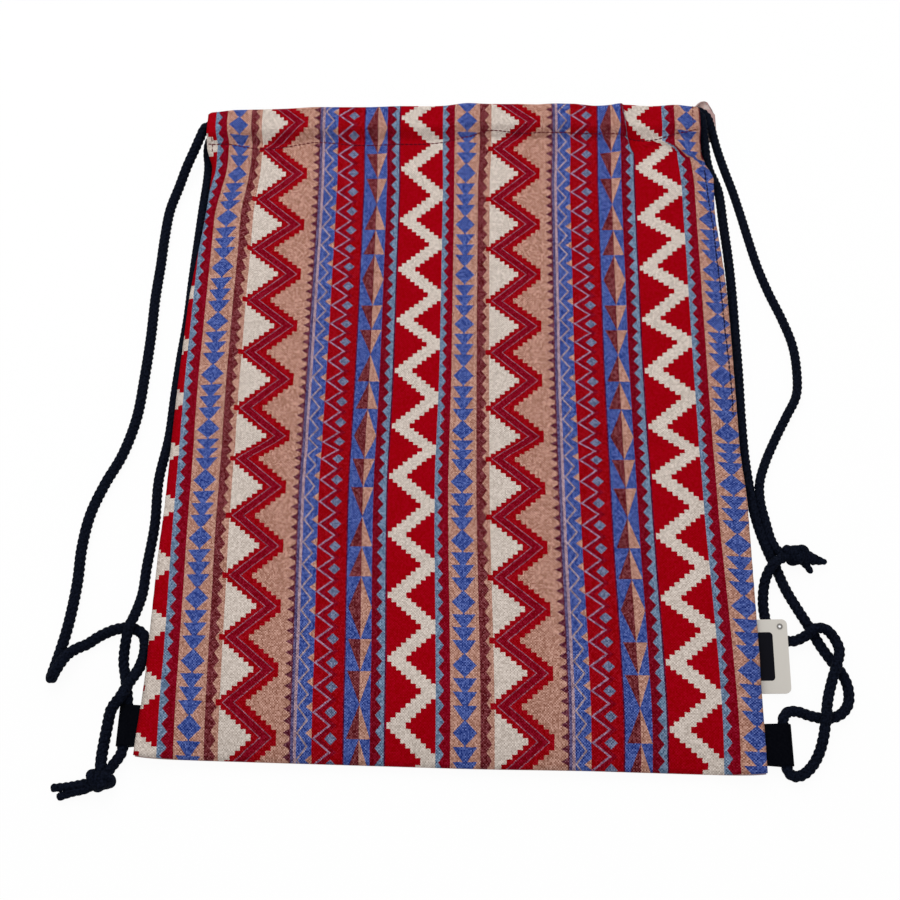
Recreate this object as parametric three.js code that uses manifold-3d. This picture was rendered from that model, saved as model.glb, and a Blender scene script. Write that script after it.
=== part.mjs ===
// A drawstring backpack of printed canvas, empty and lying on its back: two panels with a hemmed casing
// each, a webbing tab at each bottom corner, two cords through the casings, and a hang tag.
// Millimetres, +Z up. X runs across the bag, +Y to its mouth. The origin is under the middle of the back
// panel, on the surface that the bag lies on.
import * as THREE from "three";
import { mergeVertices } from "three/addons/utils/BufferGeometryUtils.js";
import Module from "manifold-3d";

const wasm = await Module();
wasm.setup();

// Driving dimensions of the canvas bag
const BAG_WIDTH = 338;
const BAG_HEIGHT = 425;
const CLOTH = 0.9;
const SEAM_GAP = 0.3;
const CASING_HEIGHT = 25;
const CASING_RISE = 9;
const HEM_TURN = 6;
const MOUTH_GAP = 4.6;

// How the empty bag lies: gathered at the mouth, a little askew, its edges raised by what is under them
const FRONT_GATHER = { left: 5.5, right: 13 };
const BACK_GATHER = { left: 4, right: 2.5 };
const SEAM_PINCH = { left: 9, right: 7 };
const PINCH_BELOW_STITCH = 12;
const PINCH_REACH = { left: 85, right: 55 };
const GATHER_RAMP = 20;
const HEM_SETBACK = 9;
const SEAM_OPENS = 14;
const TOP_SLANT = 1.5;
const TOP_DROOP = 2.5;
const BACK_END_RISE = 12;
const BOTTOM_SLANT = 3.5;
const CORNER_ROUND = 3;
const SIDE_LIFT = { left: 5.6, right: 7.2 };
const BOTTOM_LIFT = 2.4;
const LIFT_ABOVE_TAB = 10;
const LIFT_RAMP = 28;
const LIFT_REACH = 60;
const PILLOW_REACH = 45;
const CREASE_Y = -28;
const CREASE_DEPTH = 1.2;
const CREASE_WIDTH = 5;
const CREASE_FADE = 30;

// Driving dimensions of the cords, the tabs and the tag
const CORD_DIAMETER = 5;
const CORD_CLEARANCE = 0.3;
const CORD_SIDES = 8;
const RUN_FROM_TOP = { left: 10.6, right: 4.5 };
const RUN_PAST_HEM = 3;
const TAB_WIDTH = 22;
const TAB_CLOTH = 1.2;
const TAB_ABOVE_BOTTOM = 5.5;
const TAB_SEWN_IN = 7;
const TAB_REACH = { left: 9, right: 11 };
const TAB_SWELL_ALONG = { from: 10, to: 32 };
const TAB_SWELL_INWARD = { from: 1, to: 20 };
const TAG_WIDTH = 30;
const TAG_HEIGHT = 42;
const TAG_THICKNESS = 1.2;
const TAG_CORNER = 3;
const TAG_HOLE = 2.8;
const TAG_HOLE_INSET = 4.4;
const TAG_OUT = 18;
const TAG_ABOVE_BOTTOM = 41.5;
const TAG_SLOPE = { across: 0.1, along: 0.1 };
const KNOT_SIZE = { length: 16, width: 13, height: 11 };
const KNOT_WRAP_PROUD = 1.6;
const KNOT_WRAP_TURN = 0.3;

// Sizes that follow from them
const TUNNEL = CORD_DIAMETER + 2 * CORD_CLEARANCE;
const LAYER_STEP = CLOTH + SEAM_GAP;
const CASING_STEP = TUNNEL + CLOTH;
const BACK_MIDDLE = CLOTH / 2;
const HEM_MIDDLE = CASING_STEP + CLOTH + MOUTH_GAP + CLOTH / 2;
const FRONT_MIDDLE = HEM_MIDDLE + LAYER_STEP;
const TOP_Y = BAG_HEIGHT / 2;
const STITCH_Y = TOP_Y - CASING_HEIGHT;
const TAB_GAP = 2 * TAB_CLOTH + SEAM_GAP;
const TAG_LOW_Y = TAG_ABOVE_BOTTOM - BAG_HEIGHT / 2;

const smooth = (low, high, value) => THREE.MathUtils.smoothstep(value, low, high);
const bell = (value, middle, width) => Math.exp(-(((value - middle) / width) ** 2));
const sideOf = (u) => (u < 0 ? "left" : "right");

// Plan of the bag: u runs from -1 at the left edge to 1 at the right one
const CORNER_POWER = 20;
const bottomY = (u) => -BAG_HEIGHT / 2 - BOTTOM_SLANT * u + CORNER_ROUND * u ** CORNER_POWER;
const frontTop = (u) => TOP_SLANT * u - TOP_DROOP * u ** 2;
const backTop = (u) => frontTop(u) + BACK_END_RISE * smooth(0.5, 1, u);

// The side seams are drawn in below the casings, whose open ends spread again
function halfWidth(u, y, gather) {
  const pinchY = STITCH_Y - PINCH_BELOW_STITCH;
  const pinch = SEAM_PINCH[sideOf(u)] * bell(y, pinchY, PINCH_REACH[sideOf(u)]);
  const spread = smooth(pinchY, pinchY + GATHER_RAMP, y);
  return BAG_WIDTH / 2 - THREE.MathUtils.lerp(pinch, gather[sideOf(u)], spread);
}

// Inside, the hems end short of the casings' ends, so that the far cord turns under their cover
const hemEnd = (u) => BAG_WIDTH / 2 - FRONT_GATHER[sideOf(u)] - HEM_SETBACK;

const tabTopY = (u) => -BAG_HEIGHT / 2 - BOTTOM_SLANT * u + TAB_ABOVE_BOTTOM + TAB_WIDTH;
const liftStart = (u) => tabTopY(u) + LIFT_ABOVE_TAB;

// How high the seam is raised off the surface, by the place round the bag's edge
function lift(u, y) {
  const side = SIDE_LIFT[sideOf(u)];
  return THREE.MathUtils.lerp(BOTTOM_LIFT, side, smooth(liftStart(u), liftStart(u) + LIFT_RAMP, y));
}

// 1 at the closed seams, 0 well inside the bag and at the open ends of the casings
function seamNear(u, y, reach, falloff) {
  const fromSide = (1 - Math.abs(u)) * (BAG_WIDTH / 2);
  const fromBottom = y - bottomY(u);
  const closed = 1 - smooth(STITCH_Y - SEAM_OPENS, STITCH_Y, y - frontTop(u));
  const side = closed * falloff(Math.min(fromSide / reach, 1));
  return 1 - (1 - side) * (1 - falloff(Math.min(fromBottom / reach, 1)));
}

// The seam is thicker where a tab is sewn into it
function tabSwell(u, y) {
  const above = y - tabTopY(u);
  const inward = (1 - Math.abs(u)) * (BAG_WIDTH / 2) - TAB_SEWN_IN;
  const along = 1 - smooth(TAB_SWELL_ALONG.from, TAB_SWELL_ALONG.to, above);
  return TAB_GAP * along * (1 - smooth(TAB_SWELL_INWARD.from, TAB_SWELL_INWARD.to, inward));
}

// Puckers that the drawn cords leave in the front, deepest at the casing's stitch line
const PUCKERS = [
  { x: -148, width: 9, height: 2.2, lean: 0.15 },
  { x: -96, width: 12, height: 1.2, lean: 0 },
  { x: -40, width: 13, height: 1.1, lean: 0.05 },
  { x: 4, width: 9, height: 2, lean: 0 },
  { x: 54, width: 12, height: 1.2, lean: 0.05 },
  { x: 102, width: 9, height: 2.4, lean: -0.15 },
  { x: 140, width: 9, height: 3, lean: -0.5 },
];
const PUCKER_FADE = 38;

function puckers(x, y) {
  const below = Math.max(STITCH_Y - y, 0);
  const fade = Math.exp(-((below / PUCKER_FADE) ** 2));
  return PUCKERS.reduce((sum, p) => sum + p.height * fade * bell(x, p.x - p.lean * below, p.width), 0);
}

// The crease that a fold for packing left across the front
const crease = (u, y) =>
  CREASE_DEPTH * bell(y, CREASE_Y, CREASE_WIDTH) * (1 - seamNear(u, y, CREASE_FADE, (t) => 1 - t));

const frontDrop = (u, y) =>
  seamNear(u, y, PILLOW_REACH, (t) => (1 - t) ** 2) * (FRONT_MIDDLE - lift(u, y) - LAYER_STEP - CLOTH / 2);

const backRise = (u, y) => seamNear(u, y, LIFT_REACH, (t) => 1 - smooth(0, 1, t)) * lift(u, y);

// A closed solid from a closed mesh, and back
function solidOf(geometry) {
  geometry.deleteAttribute("normal");
  geometry.deleteAttribute("uv");
  const merged = mergeVertices(geometry, 1e-4);
  return new wasm.Manifold(
    new wasm.Mesh({
      numProp: 3,
      vertProperties: new Float32Array(merged.attributes.position.array),
      triVerts: new Uint32Array(merged.index.array),
    }),
  );
}

function geometryOf(solid) {
  const mesh = solid.getMesh();
  const geometry = new THREE.BufferGeometry();
  geometry.setAttribute("position", new THREE.BufferAttribute(new Float32Array(mesh.vertProperties), 3));
  geometry.setIndex(new THREE.BufferAttribute(new Uint32Array(mesh.triVerts), 1));
  geometry.computeVertexNormals();
  return geometry;
}

const joined = (...geometries) =>
  geometryOf(geometries.map(solidOf).reduce((whole, next) => whole.add(next)));

// A sheet of cloth: a grid of points on its middle surface, thickened along the surface's normals
function clothGeometry(columns, rows, middleAt, thickness) {
  const middle = [];
  for (let i = 0; i <= columns; i++)
    middle.push(Array.from({ length: rows + 1 }, (_, j) => middleAt(i, j)));
  const positions = [];
  for (const side of [1, -1])
    for (let i = 0; i <= columns; i++)
      for (let j = 0; j <= rows; j++) {
        const across = middle[Math.min(i + 1, columns)][j].clone().sub(middle[Math.max(i - 1, 0)][j]);
        const along = middle[i][Math.min(j + 1, rows)].clone().sub(middle[i][Math.max(j - 1, 0)]);
        const normal = across.cross(along).normalize();
        positions.push(...middle[i][j].clone().addScaledVector(normal, (side * thickness) / 2));
      }
  const one = (columns + 1) * (rows + 1);
  const at = (i, j) => i * (rows + 1) + j;
  const index = [];
  const quad = (a, b, c, d) => index.push(a, b, c, a, c, d);
  for (let i = 0; i < columns; i++)
    for (let j = 0; j < rows; j++) {
      const [a, b, c, d] = [at(i, j), at(i + 1, j), at(i + 1, j + 1), at(i, j + 1)];
      quad(a, b, c, d);
      quad(a + one, d + one, c + one, b + one);
    }
  const rim = (a, b) => quad(a, a + one, b + one, b);
  for (let i = 0; i < columns; i++) {
    rim(at(i, 0), at(i + 1, 0));
    rim(at(i + 1, rows), at(i, rows));
  }
  for (let j = 0; j < rows; j++) {
    rim(at(columns, j), at(columns, j + 1));
    rim(at(0, j + 1), at(0, j));
  }
  const geometry = new THREE.BufferGeometry();
  geometry.setAttribute("position", new THREE.BufferAttribute(new Float32Array(positions), 3));
  geometry.setIndex(index);
  return geometry;
}

// Stations up a panel, from the bottom edge at 0 to the stitch line at 1
function panelStations(step, marks = []) {
  const height = STITCH_Y + BAG_HEIGHT / 2;
  const count = Math.round(height / step);
  const even = Array.from({ length: count }, (_, k) => k / count);
  const near = marks.map((y) => (y + BAG_HEIGHT / 2) / height);
  const clear = even.filter((v) => near.every((mark) => Math.abs(mark - v) * height > step / 3));
  return [...clear, ...near].sort((a, b) => a - b);
}

// The gap between the two layers' middles, from the stitch line into the casing
const casingBulge = (y) =>
  THREE.MathUtils.lerp(LAYER_STEP, CASING_STEP, smooth(STITCH_Y, STITCH_Y + CASING_RISE, y));

// The way of the cloth from the bottom edge, up the panel, round the casing and down to the hem's turned end.
// outer and hem give the height of each layer; hem in a station runs from 0 on the outer layer to 1 inside.
function clothWay(step, marks, outer, hem) {
  const stations = (layer) => {
    const bulges = layer(STITCH_Y) !== layer(STITCH_Y + CASING_RISE);
    return (bulges ? [0, 1 / 3, 2 / 3, 1] : [0]).map((t) => STITCH_Y + t * CASING_RISE);
  };
  const radius = CASING_STEP / 2;
  const bendY = TOP_Y - radius;
  const way = panelStations(step, marks).map((v) => ({ v, height: outer(STITCH_Y), hem: 0 }));
  way.push(...[...stations(outer), bendY].map((y) => ({ y, height: outer(y), hem: 0 })));
  const centre = (outer(bendY) + hem(bendY)) / 2;
  const start = outer(bendY) > centre ? 1 : -1;
  for (const part of [0.25, 0.5, 0.75]) {
    const turn = part * Math.PI;
    const height = centre + start * radius * Math.cos(turn);
    way.push({ y: bendY + radius * Math.sin(turn), height, hem: part });
  }
  const down = [bendY, ...stations(hem).toReversed(), STITCH_Y - HEM_TURN];
  way.push(...down.map((y) => ({ y, height: hem(y), hem: 1 })));
  return way;
}

// A panel with its casing: the cloth's way swept across the bag, with the stitching that joins hem and panel
function panel({ columns, step, marks, gather, top, outer, hem, shape, relief }) {
  const way = clothWay(step, marks, outer, hem);
  const place = (u, { v, y, height, hem: inside }) => {
    const onPanel = y === undefined;
    const flatY = onPanel ? THREE.MathUtils.lerp(bottomY(u), STITCH_Y + top(u), v) : y + top(u);
    const half = halfWidth(u, flatY, gather);
    const x = u * THREE.MathUtils.lerp(half, hemEnd(u), inside);
    const z = height + shape(x / half, flatY) + (1 - inside) * relief(x / half, x, flatY);
    return new THREE.Vector3(x, flatY, z);
  };
  const uAt = (i) => (2 * i) / columns - 1;
  const cloth = clothGeometry(columns, way.length - 1, (i, j) => place(uAt(i), way[j]), CLOTH);
  const between = (outer(STITCH_Y) + hem(STITCH_Y)) / 2;
  const stitches = [-1, 1].map((dy) => ({ y: STITCH_Y + dy, height: between, hem: 1 }));
  const inset = 1 - 1 / BAG_WIDTH;
  const seam = clothGeometry(columns, 1, (i, j) => place(uAt(i) * inset, stitches[j]), LAYER_STEP);
  return joined(cloth, seam);
}

const SEAM_END = [STITCH_Y - SEAM_OPENS, STITCH_Y - SEAM_OPENS / 2];

const frontPanel = () =>
  panel({
    columns: 29,
    step: 21,
    marks: [CREASE_Y - CREASE_WIDTH, CREASE_Y, CREASE_Y + CREASE_WIDTH, ...SEAM_END],
    gather: FRONT_GATHER,
    top: frontTop,
    outer: (y) => HEM_MIDDLE + casingBulge(y),
    hem: () => HEM_MIDDLE,
    shape: (u, y) => -frontDrop(u, y) + tabSwell(u, y),
    relief: (u, x, y) => puckers(x, y) - crease(u, y),
  });

const backPanel = () =>
  panel({
    columns: 18,
    step: 26,
    marks: SEAM_END,
    gather: BACK_GATHER,
    top: backTop,
    outer: () => BACK_MIDDLE,
    hem: (y) => BACK_MIDDLE + casingBulge(y),
    shape: backRise,
    relief: () => 0,
  });

// A tab: webbing folded round the cord, its two ends sewn together into the side seam
const tabEdge = (side) => (side * BAG_WIDTH) / 2;
const tabLowY = (side) => tabTopY(side) - TAB_WIDTH;
const TAB_HOLE = TUNNEL / 2;
const TAB_ROUND = TAB_HOLE + TAB_CLOTH;

function tab(side) {
  const rootLow = BOTTOM_LIFT + CLOTH + SEAM_GAP;
  const rootHigh = rootLow + 2 * TAB_CLOTH;
  const rootX = -TAB_SEWN_IN;
  const centre = new THREE.Vector2(TAB_REACH[sideOf(side)], TAB_ROUND);
  const outline = new THREE.Shape();
  const opening = (2 * Math.PI) / 3;
  outline.moveTo(rootX, rootLow);
  outline.lineTo(0, rootLow);
  outline.absarc(centre.x, centre.y, TAB_ROUND, -opening, opening, false);
  outline.lineTo(0, rootHigh);
  outline.lineTo(rootX, rootHigh);
  outline.closePath();
  const hole = new THREE.Path();
  hole.absarc(centre.x, centre.y, TAB_HOLE, opening, -opening, true);
  hole.lineTo(centre.x - 2 * TAB_HOLE, centre.y);
  hole.closePath();
  outline.holes.push(hole);
  const settings = { depth: TAB_WIDTH, bevelEnabled: false, curveSegments: 6 };
  const geometry = new THREE.ExtrudeGeometry(outline, settings);
  geometry.rotateX(Math.PI / 2);
  geometry.translate(0, TAB_WIDTH, 0);
  if (side < 0) {
    geometry.rotateZ(Math.PI);
    geometry.translate(0, TAB_WIDTH, 0);
  }
  return geometry;
}

// A cord along a smooth curve through its points, with its ends cut square
const vector = ([x, y, z]) => new THREE.Vector3(x, y, z);

function tubeAlong(curve, steps) {
  const section = new THREE.Shape();
  section.absarc(0, 0, CORD_DIAMETER / 2, 0, 2 * Math.PI, false);
  const settings = { steps, curveSegments: CORD_SIDES / 2, bevelEnabled: false, extrudePath: curve };
  return new THREE.ExtrudeGeometry(section, settings);
}

// A curve whose steps follow its points, so that a straight length takes few of them
class PointSpacedCurve extends THREE.CatmullRomCurve3 {
  getPointAt(t, target) {
    return this.getPoint(t, target);
  }
  getTangentAt(t, target) {
    return this.getTangent(t, target);
  }
}

function cordGeometry(points) {
  const curve = new PointSpacedCurve(points.map(vector), false, "centripetal");
  return tubeAlong(curve, points.length - 1);
}

// Where a cord runs in the casings
const FRONT_RUN_Z = HEM_MIDDLE + CASING_STEP / 2;
const BACK_RUN_Z = BACK_MIDDLE + CASING_STEP / 2;
const RUN_STATIONS = 8;
const TURN_STATIONS = 6;
const evenly = (count) => Array.from({ length: count + 1 }, (_, k) => k / count);

// A cord's held length: in by the front casing, round the far end under its cover, back by the back casing
function cordRun(cord) {
  const near = cord === "left" ? -1 : 1;
  const far = -near;
  const nearX = near * (hemEnd(near) + RUN_PAST_HEM);
  const turnX = far * (hemEnd(far) + SEAM_GAP);
  const radius = (FRONT_RUN_Z - BACK_RUN_Z) / 2;
  const lane = (top) => (x) => TOP_Y - RUN_FROM_TOP[cord] + top((2 * x) / BAG_WIDTH);
  const [frontLane, backLane] = [lane(frontTop), lane(backTop)];
  const straightX = evenly(RUN_STATIONS).map((t) => THREE.MathUtils.lerp(nearX, turnX - far, t));
  const turn = evenly(TURN_STATIONS).map((t) => {
    const angle = t * Math.PI;
    const y = THREE.MathUtils.lerp(frontLane(turnX), backLane(turnX), smooth(0.3, 1, t));
    return [turnX + far * radius * Math.sin(angle), y, BACK_RUN_Z + radius * (1 + Math.cos(angle))];
  });
  return cordGeometry([
    ...straightX.map((x) => [x, frontLane(x), FRONT_RUN_Z]),
    ...turn,
    ...straightX.toReversed().map((x) => [x, backLane(x), BACK_RUN_Z]),
  ]);
}

// The free strands, from the casing's end to the knot, as they lie: each crossing is a low hump
const LEFT_OUTER = [
  [-157.9, 198.3, 15.7], [-162, 198.3, 15.7], [-166, 196.5, 15.2], [-168.5, 191.8, 13.6],
  [-172, 184, 10.8], [-177, 172.5, 7.2], [-181.5, 158.5, 4], [-186, 142, 2.6], [-187.5, 121, 2.6],
  [-188, 100, 2.6], [-189, 77, 2.6], [-189, 49, 2.6], [-190, 21, 2.6], [-192, -7, 2.6],
  [-198, -31, 2.6], [-206, -49, 2.6], [-212.5, -68.5, 2.6], [-215, -89, 2.6], [-215, -111, 2.6],
  [-217, -135, 2.6], [-219.5, -150, 2.6], [-221.3, -158.5, 2.6], [-222.3, -163.5, 2.7],
  [-221.8, -166.5, 5.2], [-219.7, -164, 7.9], [-216.8, -158.5, 8.2], [-214, -153.5, 6.8],
  [-210, -149.5, 4.4], [-205, -146.5, 2.8], [-198, -141.5, 2.6], [-189, -137.5, 2.6], [-181, -137, 2.6],
  [-174, -140.5, 2.6], [-172, -149, 2.6], [-173.5, -159.5, 4], [-177, -168.5, 7.8], [-180.5, -177, 10],
  [-186, -184, 6.6], [-188, -192.5, 3.4], [-189, -202, 2.6], [-189.2, -209, 3.2], [-188.5, -215.9, 4.9],
];
const LEFT_INNER = [
  [-157.9, 198.3, 3.7], [-162, 198.3, 3.7], [-166, 196.7, 3.7], [-169, 191.5, 3.2],
  [-168.5, 184.5, 2.6], [-165.5, 176, 2.6], [-163.8, 165, 2.6], [-164.7, 145, 2.6], [-165.6, 120, 2.6],
  [-166.6, 90, 2.6], [-167.2, 61, 2.6], [-168.9, 35, 2.6], [-170.1, 9, 2.6], [-171, -19, 2.6],
  [-174.5, -47, 2.6], [-174, -75, 2.6], [-176, -101, 2.6], [-176.5, -117.5, 3.8], [-178.5, -130, 7.2],
  [-180.8, -137.5, 8.2], [-182.2, -146, 6.8], [-183, -156, 3.6], [-181, -166, 2.7], [-179, -174, 3.6],
  [-178, -180, 4], [-178, -188, 4], [-178, -196, 4], [-178, -204, 4], [-178.8, -208, 4],
  [-181.6, -212.6, 4], [-184, -216.7, 4.8],
];
const RIGHT_OUTER = [
  [150.6, 217.8, 3.7], [157, 218.2, 3.7], [162.5, 217, 3.7], [166.5, 213.5, 3.7], [169, 207, 3.7],
  [170.2, 198, 3.4], [171, 188, 2.6], [173, 172, 2.6], [176.7, 155, 2.6], [180.5, 137, 2.6],
  [184, 119, 2.6],
  [188, 100, 2.6], [193.5, 81, 2.6], [200.3, 62, 2.6], [205.2, 44, 2.6], [206.3, 26, 2.6],
  [204.6, 10, 2.6], [197.5, -4, 2.6], [189.6, -19, 2.6], [182.4, -34.5, 2.6], [178.8, -47, 2.6],
  [178.5, -59, 2.6], [180.6, -70.5, 2.6], [184.4, -81.5, 3], [188.3, -87.6, 4.7],
];
const RIGHT_INNER = [
  [150.4, 207.4, 15.7], [155, 207, 15.7], [158.5, 205, 15.2], [160.2, 200, 13.8], [161.2, 193, 11.4],
  [162.6, 186, 8.6], [165.3, 179, 5.6], [166.3, 171, 3.4], [167.8, 155, 2.6],
  [169, 130, 2.6], [170.4, 105, 2.6], [171, 80, 2.6], [171, 55, 2.6], [171, 25, 2.6], [170.5, -5, 2.6],
  [170.8, -31, 2.6], [172.3, -51, 2.6], [174.6, -69, 2.6], [178.8, -85.5, 2.6], [183.8, -99.5, 2.6],
  [188, -111.5, 2.6], [193.3, -122.3, 2.6], [199, -133, 2.6], [204.3, -143.8, 2.6], [210, -153, 2.6],
  [215, -160.3, 2.6], [217.3, -168.3, 2.6], [216.2, -177, 2.6], [211.3, -182.5, 2.6],
  [204, -184.5, 2.6], [195.5, -183.2, 2.6], [188.5, -181, 2.8], [183.5, -181.3, 3.4],
  [180.4, -185, 3.9], [180, -191, 4], [180, -198, 4], [180, -205, 4], [180, -209.8, 4],
  [180.6, -213.4, 4], [183.2, -215.8, 3.8], [187.8, -215.2, 3.2], [193, -211.2, 2.8],
  [197.3, -204.8, 3.6], [200.3, -195.8, 6.6], [202.4, -185, 8.2], [204.8, -174, 7.4], [208, -164, 7.8],
  [211.3, -155.3, 8.2], [213.8, -147, 6], [211.5, -139.3, 4.6], [206.5, -135.5, 7], [200.5, -136, 8.2],
  [195.5, -139.5, 5.4], [189.7, -141.5, 2.8], [183, -140.5, 2.6], [177.5, -135.5, 2.6],
  [175, -126.7, 2.6], [175, -116, 2.7], [176.8, -106, 5.2], [181, -98.5, 8.2], [187.9, -93.8, 7],
];

// A knot of two cord ends: the rounded knot with a strand wrapped over it, and the tails that come out of it
function knot({ centre, turn, tails }) {
  const radius = CORD_DIAMETER / 2;
  const body = new THREE.SphereGeometry(0.5, 10, 7);
  body.scale(KNOT_SIZE.length, KNOT_SIZE.width - KNOT_WRAP_PROUD, KNOT_SIZE.height - KNOT_WRAP_PROUD);
  const wrap = new THREE.TorusGeometry(KNOT_SIZE.width / 2 - radius, radius, 7, 11);
  wrap.scale(1, KNOT_SIZE.height / KNOT_SIZE.width, 1);
  wrap.rotateX(Math.PI / 2);
  wrap.rotateZ(Math.PI / 2 - KNOT_WRAP_TURN);
  for (const geometry of [body, wrap]) {
    geometry.rotateZ(turn);
    geometry.translate(...centre);
  }
  return joined(body, wrap, ...tails.map((points) => cordGeometry([centre, ...points])));
}

const LEFT_KNOT = {
  centre: [-187.8, -222.1, 5.6],
  turn: -0.3,
  tails: [
    [[-197, -224, 4.8], [-205, -225.2, 3.6], [-215, -226, 2.6]],
    [[-195.5, -226.4, 4.2], [-203, -228.2, 3], [-211.1, -231, 2.6]],
  ],
};
const RIGHT_KNOT = {
  centre: [194.7, -91.6, 5.6],
  turn: -0.2,
  tails: [
    [[203, -93.6, 4.2], [208, -94.4, 3], [212.8, -95.2, 2.6]],
    [[200.5, -97, 3.6], [202.6, -100, 2.7], [203.7, -101.8, 2.6]],
  ],
};

// The hang tag: a card with round corners and a hole, leaning on the cord under it
function tag() {
  const outline = new THREE.Shape();
  const [w, h, r] = [TAG_WIDTH, TAG_HEIGHT, TAG_CORNER];
  outline.moveTo(r, 0);
  outline.absarc(w - r, r, r, -Math.PI / 2, 0, false);
  outline.absarc(w - r, h - r, r, 0, Math.PI / 2, false);
  outline.absarc(r, h - r, r, Math.PI / 2, Math.PI, false);
  outline.absarc(r, r, r, Math.PI, 1.5 * Math.PI, false);
  const hole = new THREE.Path();
  hole.absarc(w - TAG_HOLE_INSET, h - TAG_HOLE_INSET, TAG_HOLE / 2, 0, 2 * Math.PI, true);
  outline.holes.push(hole);
  const settings = { depth: TAG_THICKNESS, bevelEnabled: false, curveSegments: 5 };
  return new THREE.ExtrudeGeometry(outline, settings);
}

// Materials, one for each kind of cloth, cord or card
const fabric = (color) => new THREE.MeshStandardMaterial({ color, roughness: 0.9, metalness: 0 });
const CANVAS = fabric(0xb0303c);
const WEBBING = fabric(0x101218);
const CORD = fabric(0x0f141e);
const CARD = new THREE.MeshStandardMaterial({ color: 0xe8e6e2, roughness: 0.5, metalness: 0 });

const backpack = new THREE.Group();

function add(name, geometry, material) {
  const mesh = new THREE.Mesh(geometry, material);
  mesh.name = name;
  backpack.add(mesh);
  return mesh;
}

add("front_panel", frontPanel(), CANVAS);
add("back_panel", backPanel(), CANVAS);
for (const [name, side] of [["left_tab", -1], ["right_tab", 1]])
  add(name, tab(side), WEBBING).position.set(tabEdge(side), tabLowY(side), 0);

add("left_cord_run", cordRun("left"), CORD);
add("left_cord_outer", cordGeometry(LEFT_OUTER), CORD);
add("left_cord_inner", cordGeometry(LEFT_INNER), CORD);
add("left_knot", knot(LEFT_KNOT), CORD);
add("right_cord_run", cordRun("right"), CORD);
add("right_cord_outer", cordGeometry(RIGHT_OUTER), CORD);
add("right_cord_inner", cordGeometry(RIGHT_INNER), CORD);
add("right_knot", knot(RIGHT_KNOT), CORD);

const tagMesh = add("hang_tag", tag(), CARD);
const tagUp = new THREE.Vector3(-TAG_SLOPE.across, -TAG_SLOPE.along, 1).normalize();
tagMesh.quaternion.setFromUnitVectors(new THREE.Vector3(0, 0, 1), tagUp);
tagMesh.position.set(BAG_WIDTH / 2 + TAG_OUT - TAG_WIDTH, TAG_LOW_Y, SEAM_GAP);

export default backpack;
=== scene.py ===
# A drawstring backpack of printed canvas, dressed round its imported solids: sewn cloth panels with their
# print, twisted cords and knots, webbing tabs and a hang tag. Metres, +Z up, in the solids' own frame.
import math

import bmesh
import bpy
import numpy as np
from mathutils import Matrix, Vector

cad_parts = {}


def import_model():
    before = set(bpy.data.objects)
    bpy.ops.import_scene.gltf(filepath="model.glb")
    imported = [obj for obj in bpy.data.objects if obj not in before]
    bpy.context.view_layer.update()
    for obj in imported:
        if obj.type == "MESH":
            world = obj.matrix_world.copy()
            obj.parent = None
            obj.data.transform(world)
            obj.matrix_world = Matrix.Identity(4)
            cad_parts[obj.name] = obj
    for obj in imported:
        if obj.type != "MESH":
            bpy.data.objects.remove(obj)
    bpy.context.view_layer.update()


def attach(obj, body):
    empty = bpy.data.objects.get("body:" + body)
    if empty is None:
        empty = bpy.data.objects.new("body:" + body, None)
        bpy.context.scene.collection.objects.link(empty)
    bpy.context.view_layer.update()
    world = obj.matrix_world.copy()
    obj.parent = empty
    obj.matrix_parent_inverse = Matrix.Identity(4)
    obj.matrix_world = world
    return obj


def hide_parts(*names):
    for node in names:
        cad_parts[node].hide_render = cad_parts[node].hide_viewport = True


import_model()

# The bag's sizes, the same as the solids'
BAG_WIDTH = 0.338
BAG_HEIGHT = 0.425
CLOTH = 0.0009
SEAM_GAP = 0.0003
CASING_HEIGHT = 0.025
CASING_RISE = 0.009
HEM_TURN = 0.006
MOUTH_GAP = 0.0046
FRONT_GATHER = {"left": 0.0055, "right": 0.013}
PINCH_REACH = {"left": 0.085, "right": 0.055}
HEM_SETBACK = 0.009
SEAM_OPENS = 0.014
TOP_SLANT = 0.0015
TOP_DROOP = 0.0025
BOTTOM_SLANT = 0.0035
CORNER_POWER = 20
SIDE_LIFT = {"left": 0.0056, "right": 0.0072}
BOTTOM_LIFT = 0.0024
LIFT_ABOVE_TAB = 0.010
LIFT_RAMP = 0.028
LIFT_REACH = 0.060
PILLOW_REACH = 0.045
CREASE_Y = -0.028
CREASE_DEPTH = 0.0012
CREASE_WIDTH = 0.005
CREASE_FADE = 0.030
CORD_DIAMETER = 0.005
CORD_CLEARANCE = 0.0003
RUN_FROM_TOP = {"left": 0.0106, "right": 0.0045}
RUN_PAST_HEM = 0.003
TAB_WIDTH = 0.022
TAB_CLOTH = 0.0012
TAB_ABOVE_BOTTOM = 0.0055
TAB_SEWN_IN = 0.007
TAB_REACH = {"left": 0.009, "right": 0.011}
TAB_SWELL_ALONG = (0.010, 0.032)
TAB_SWELL_INWARD = (0.001, 0.020)
TAG_WIDTH = 0.030
TAG_THICKNESS = 0.0012
TAG_CORNER = 0.003
TAG_HOLE = 0.0028
TAG_ABOVE_BOTTOM = 0.0415
TAG_SLOPE = 0.1
KNOT_SIZE = (0.016, 0.013, 0.011)

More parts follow.
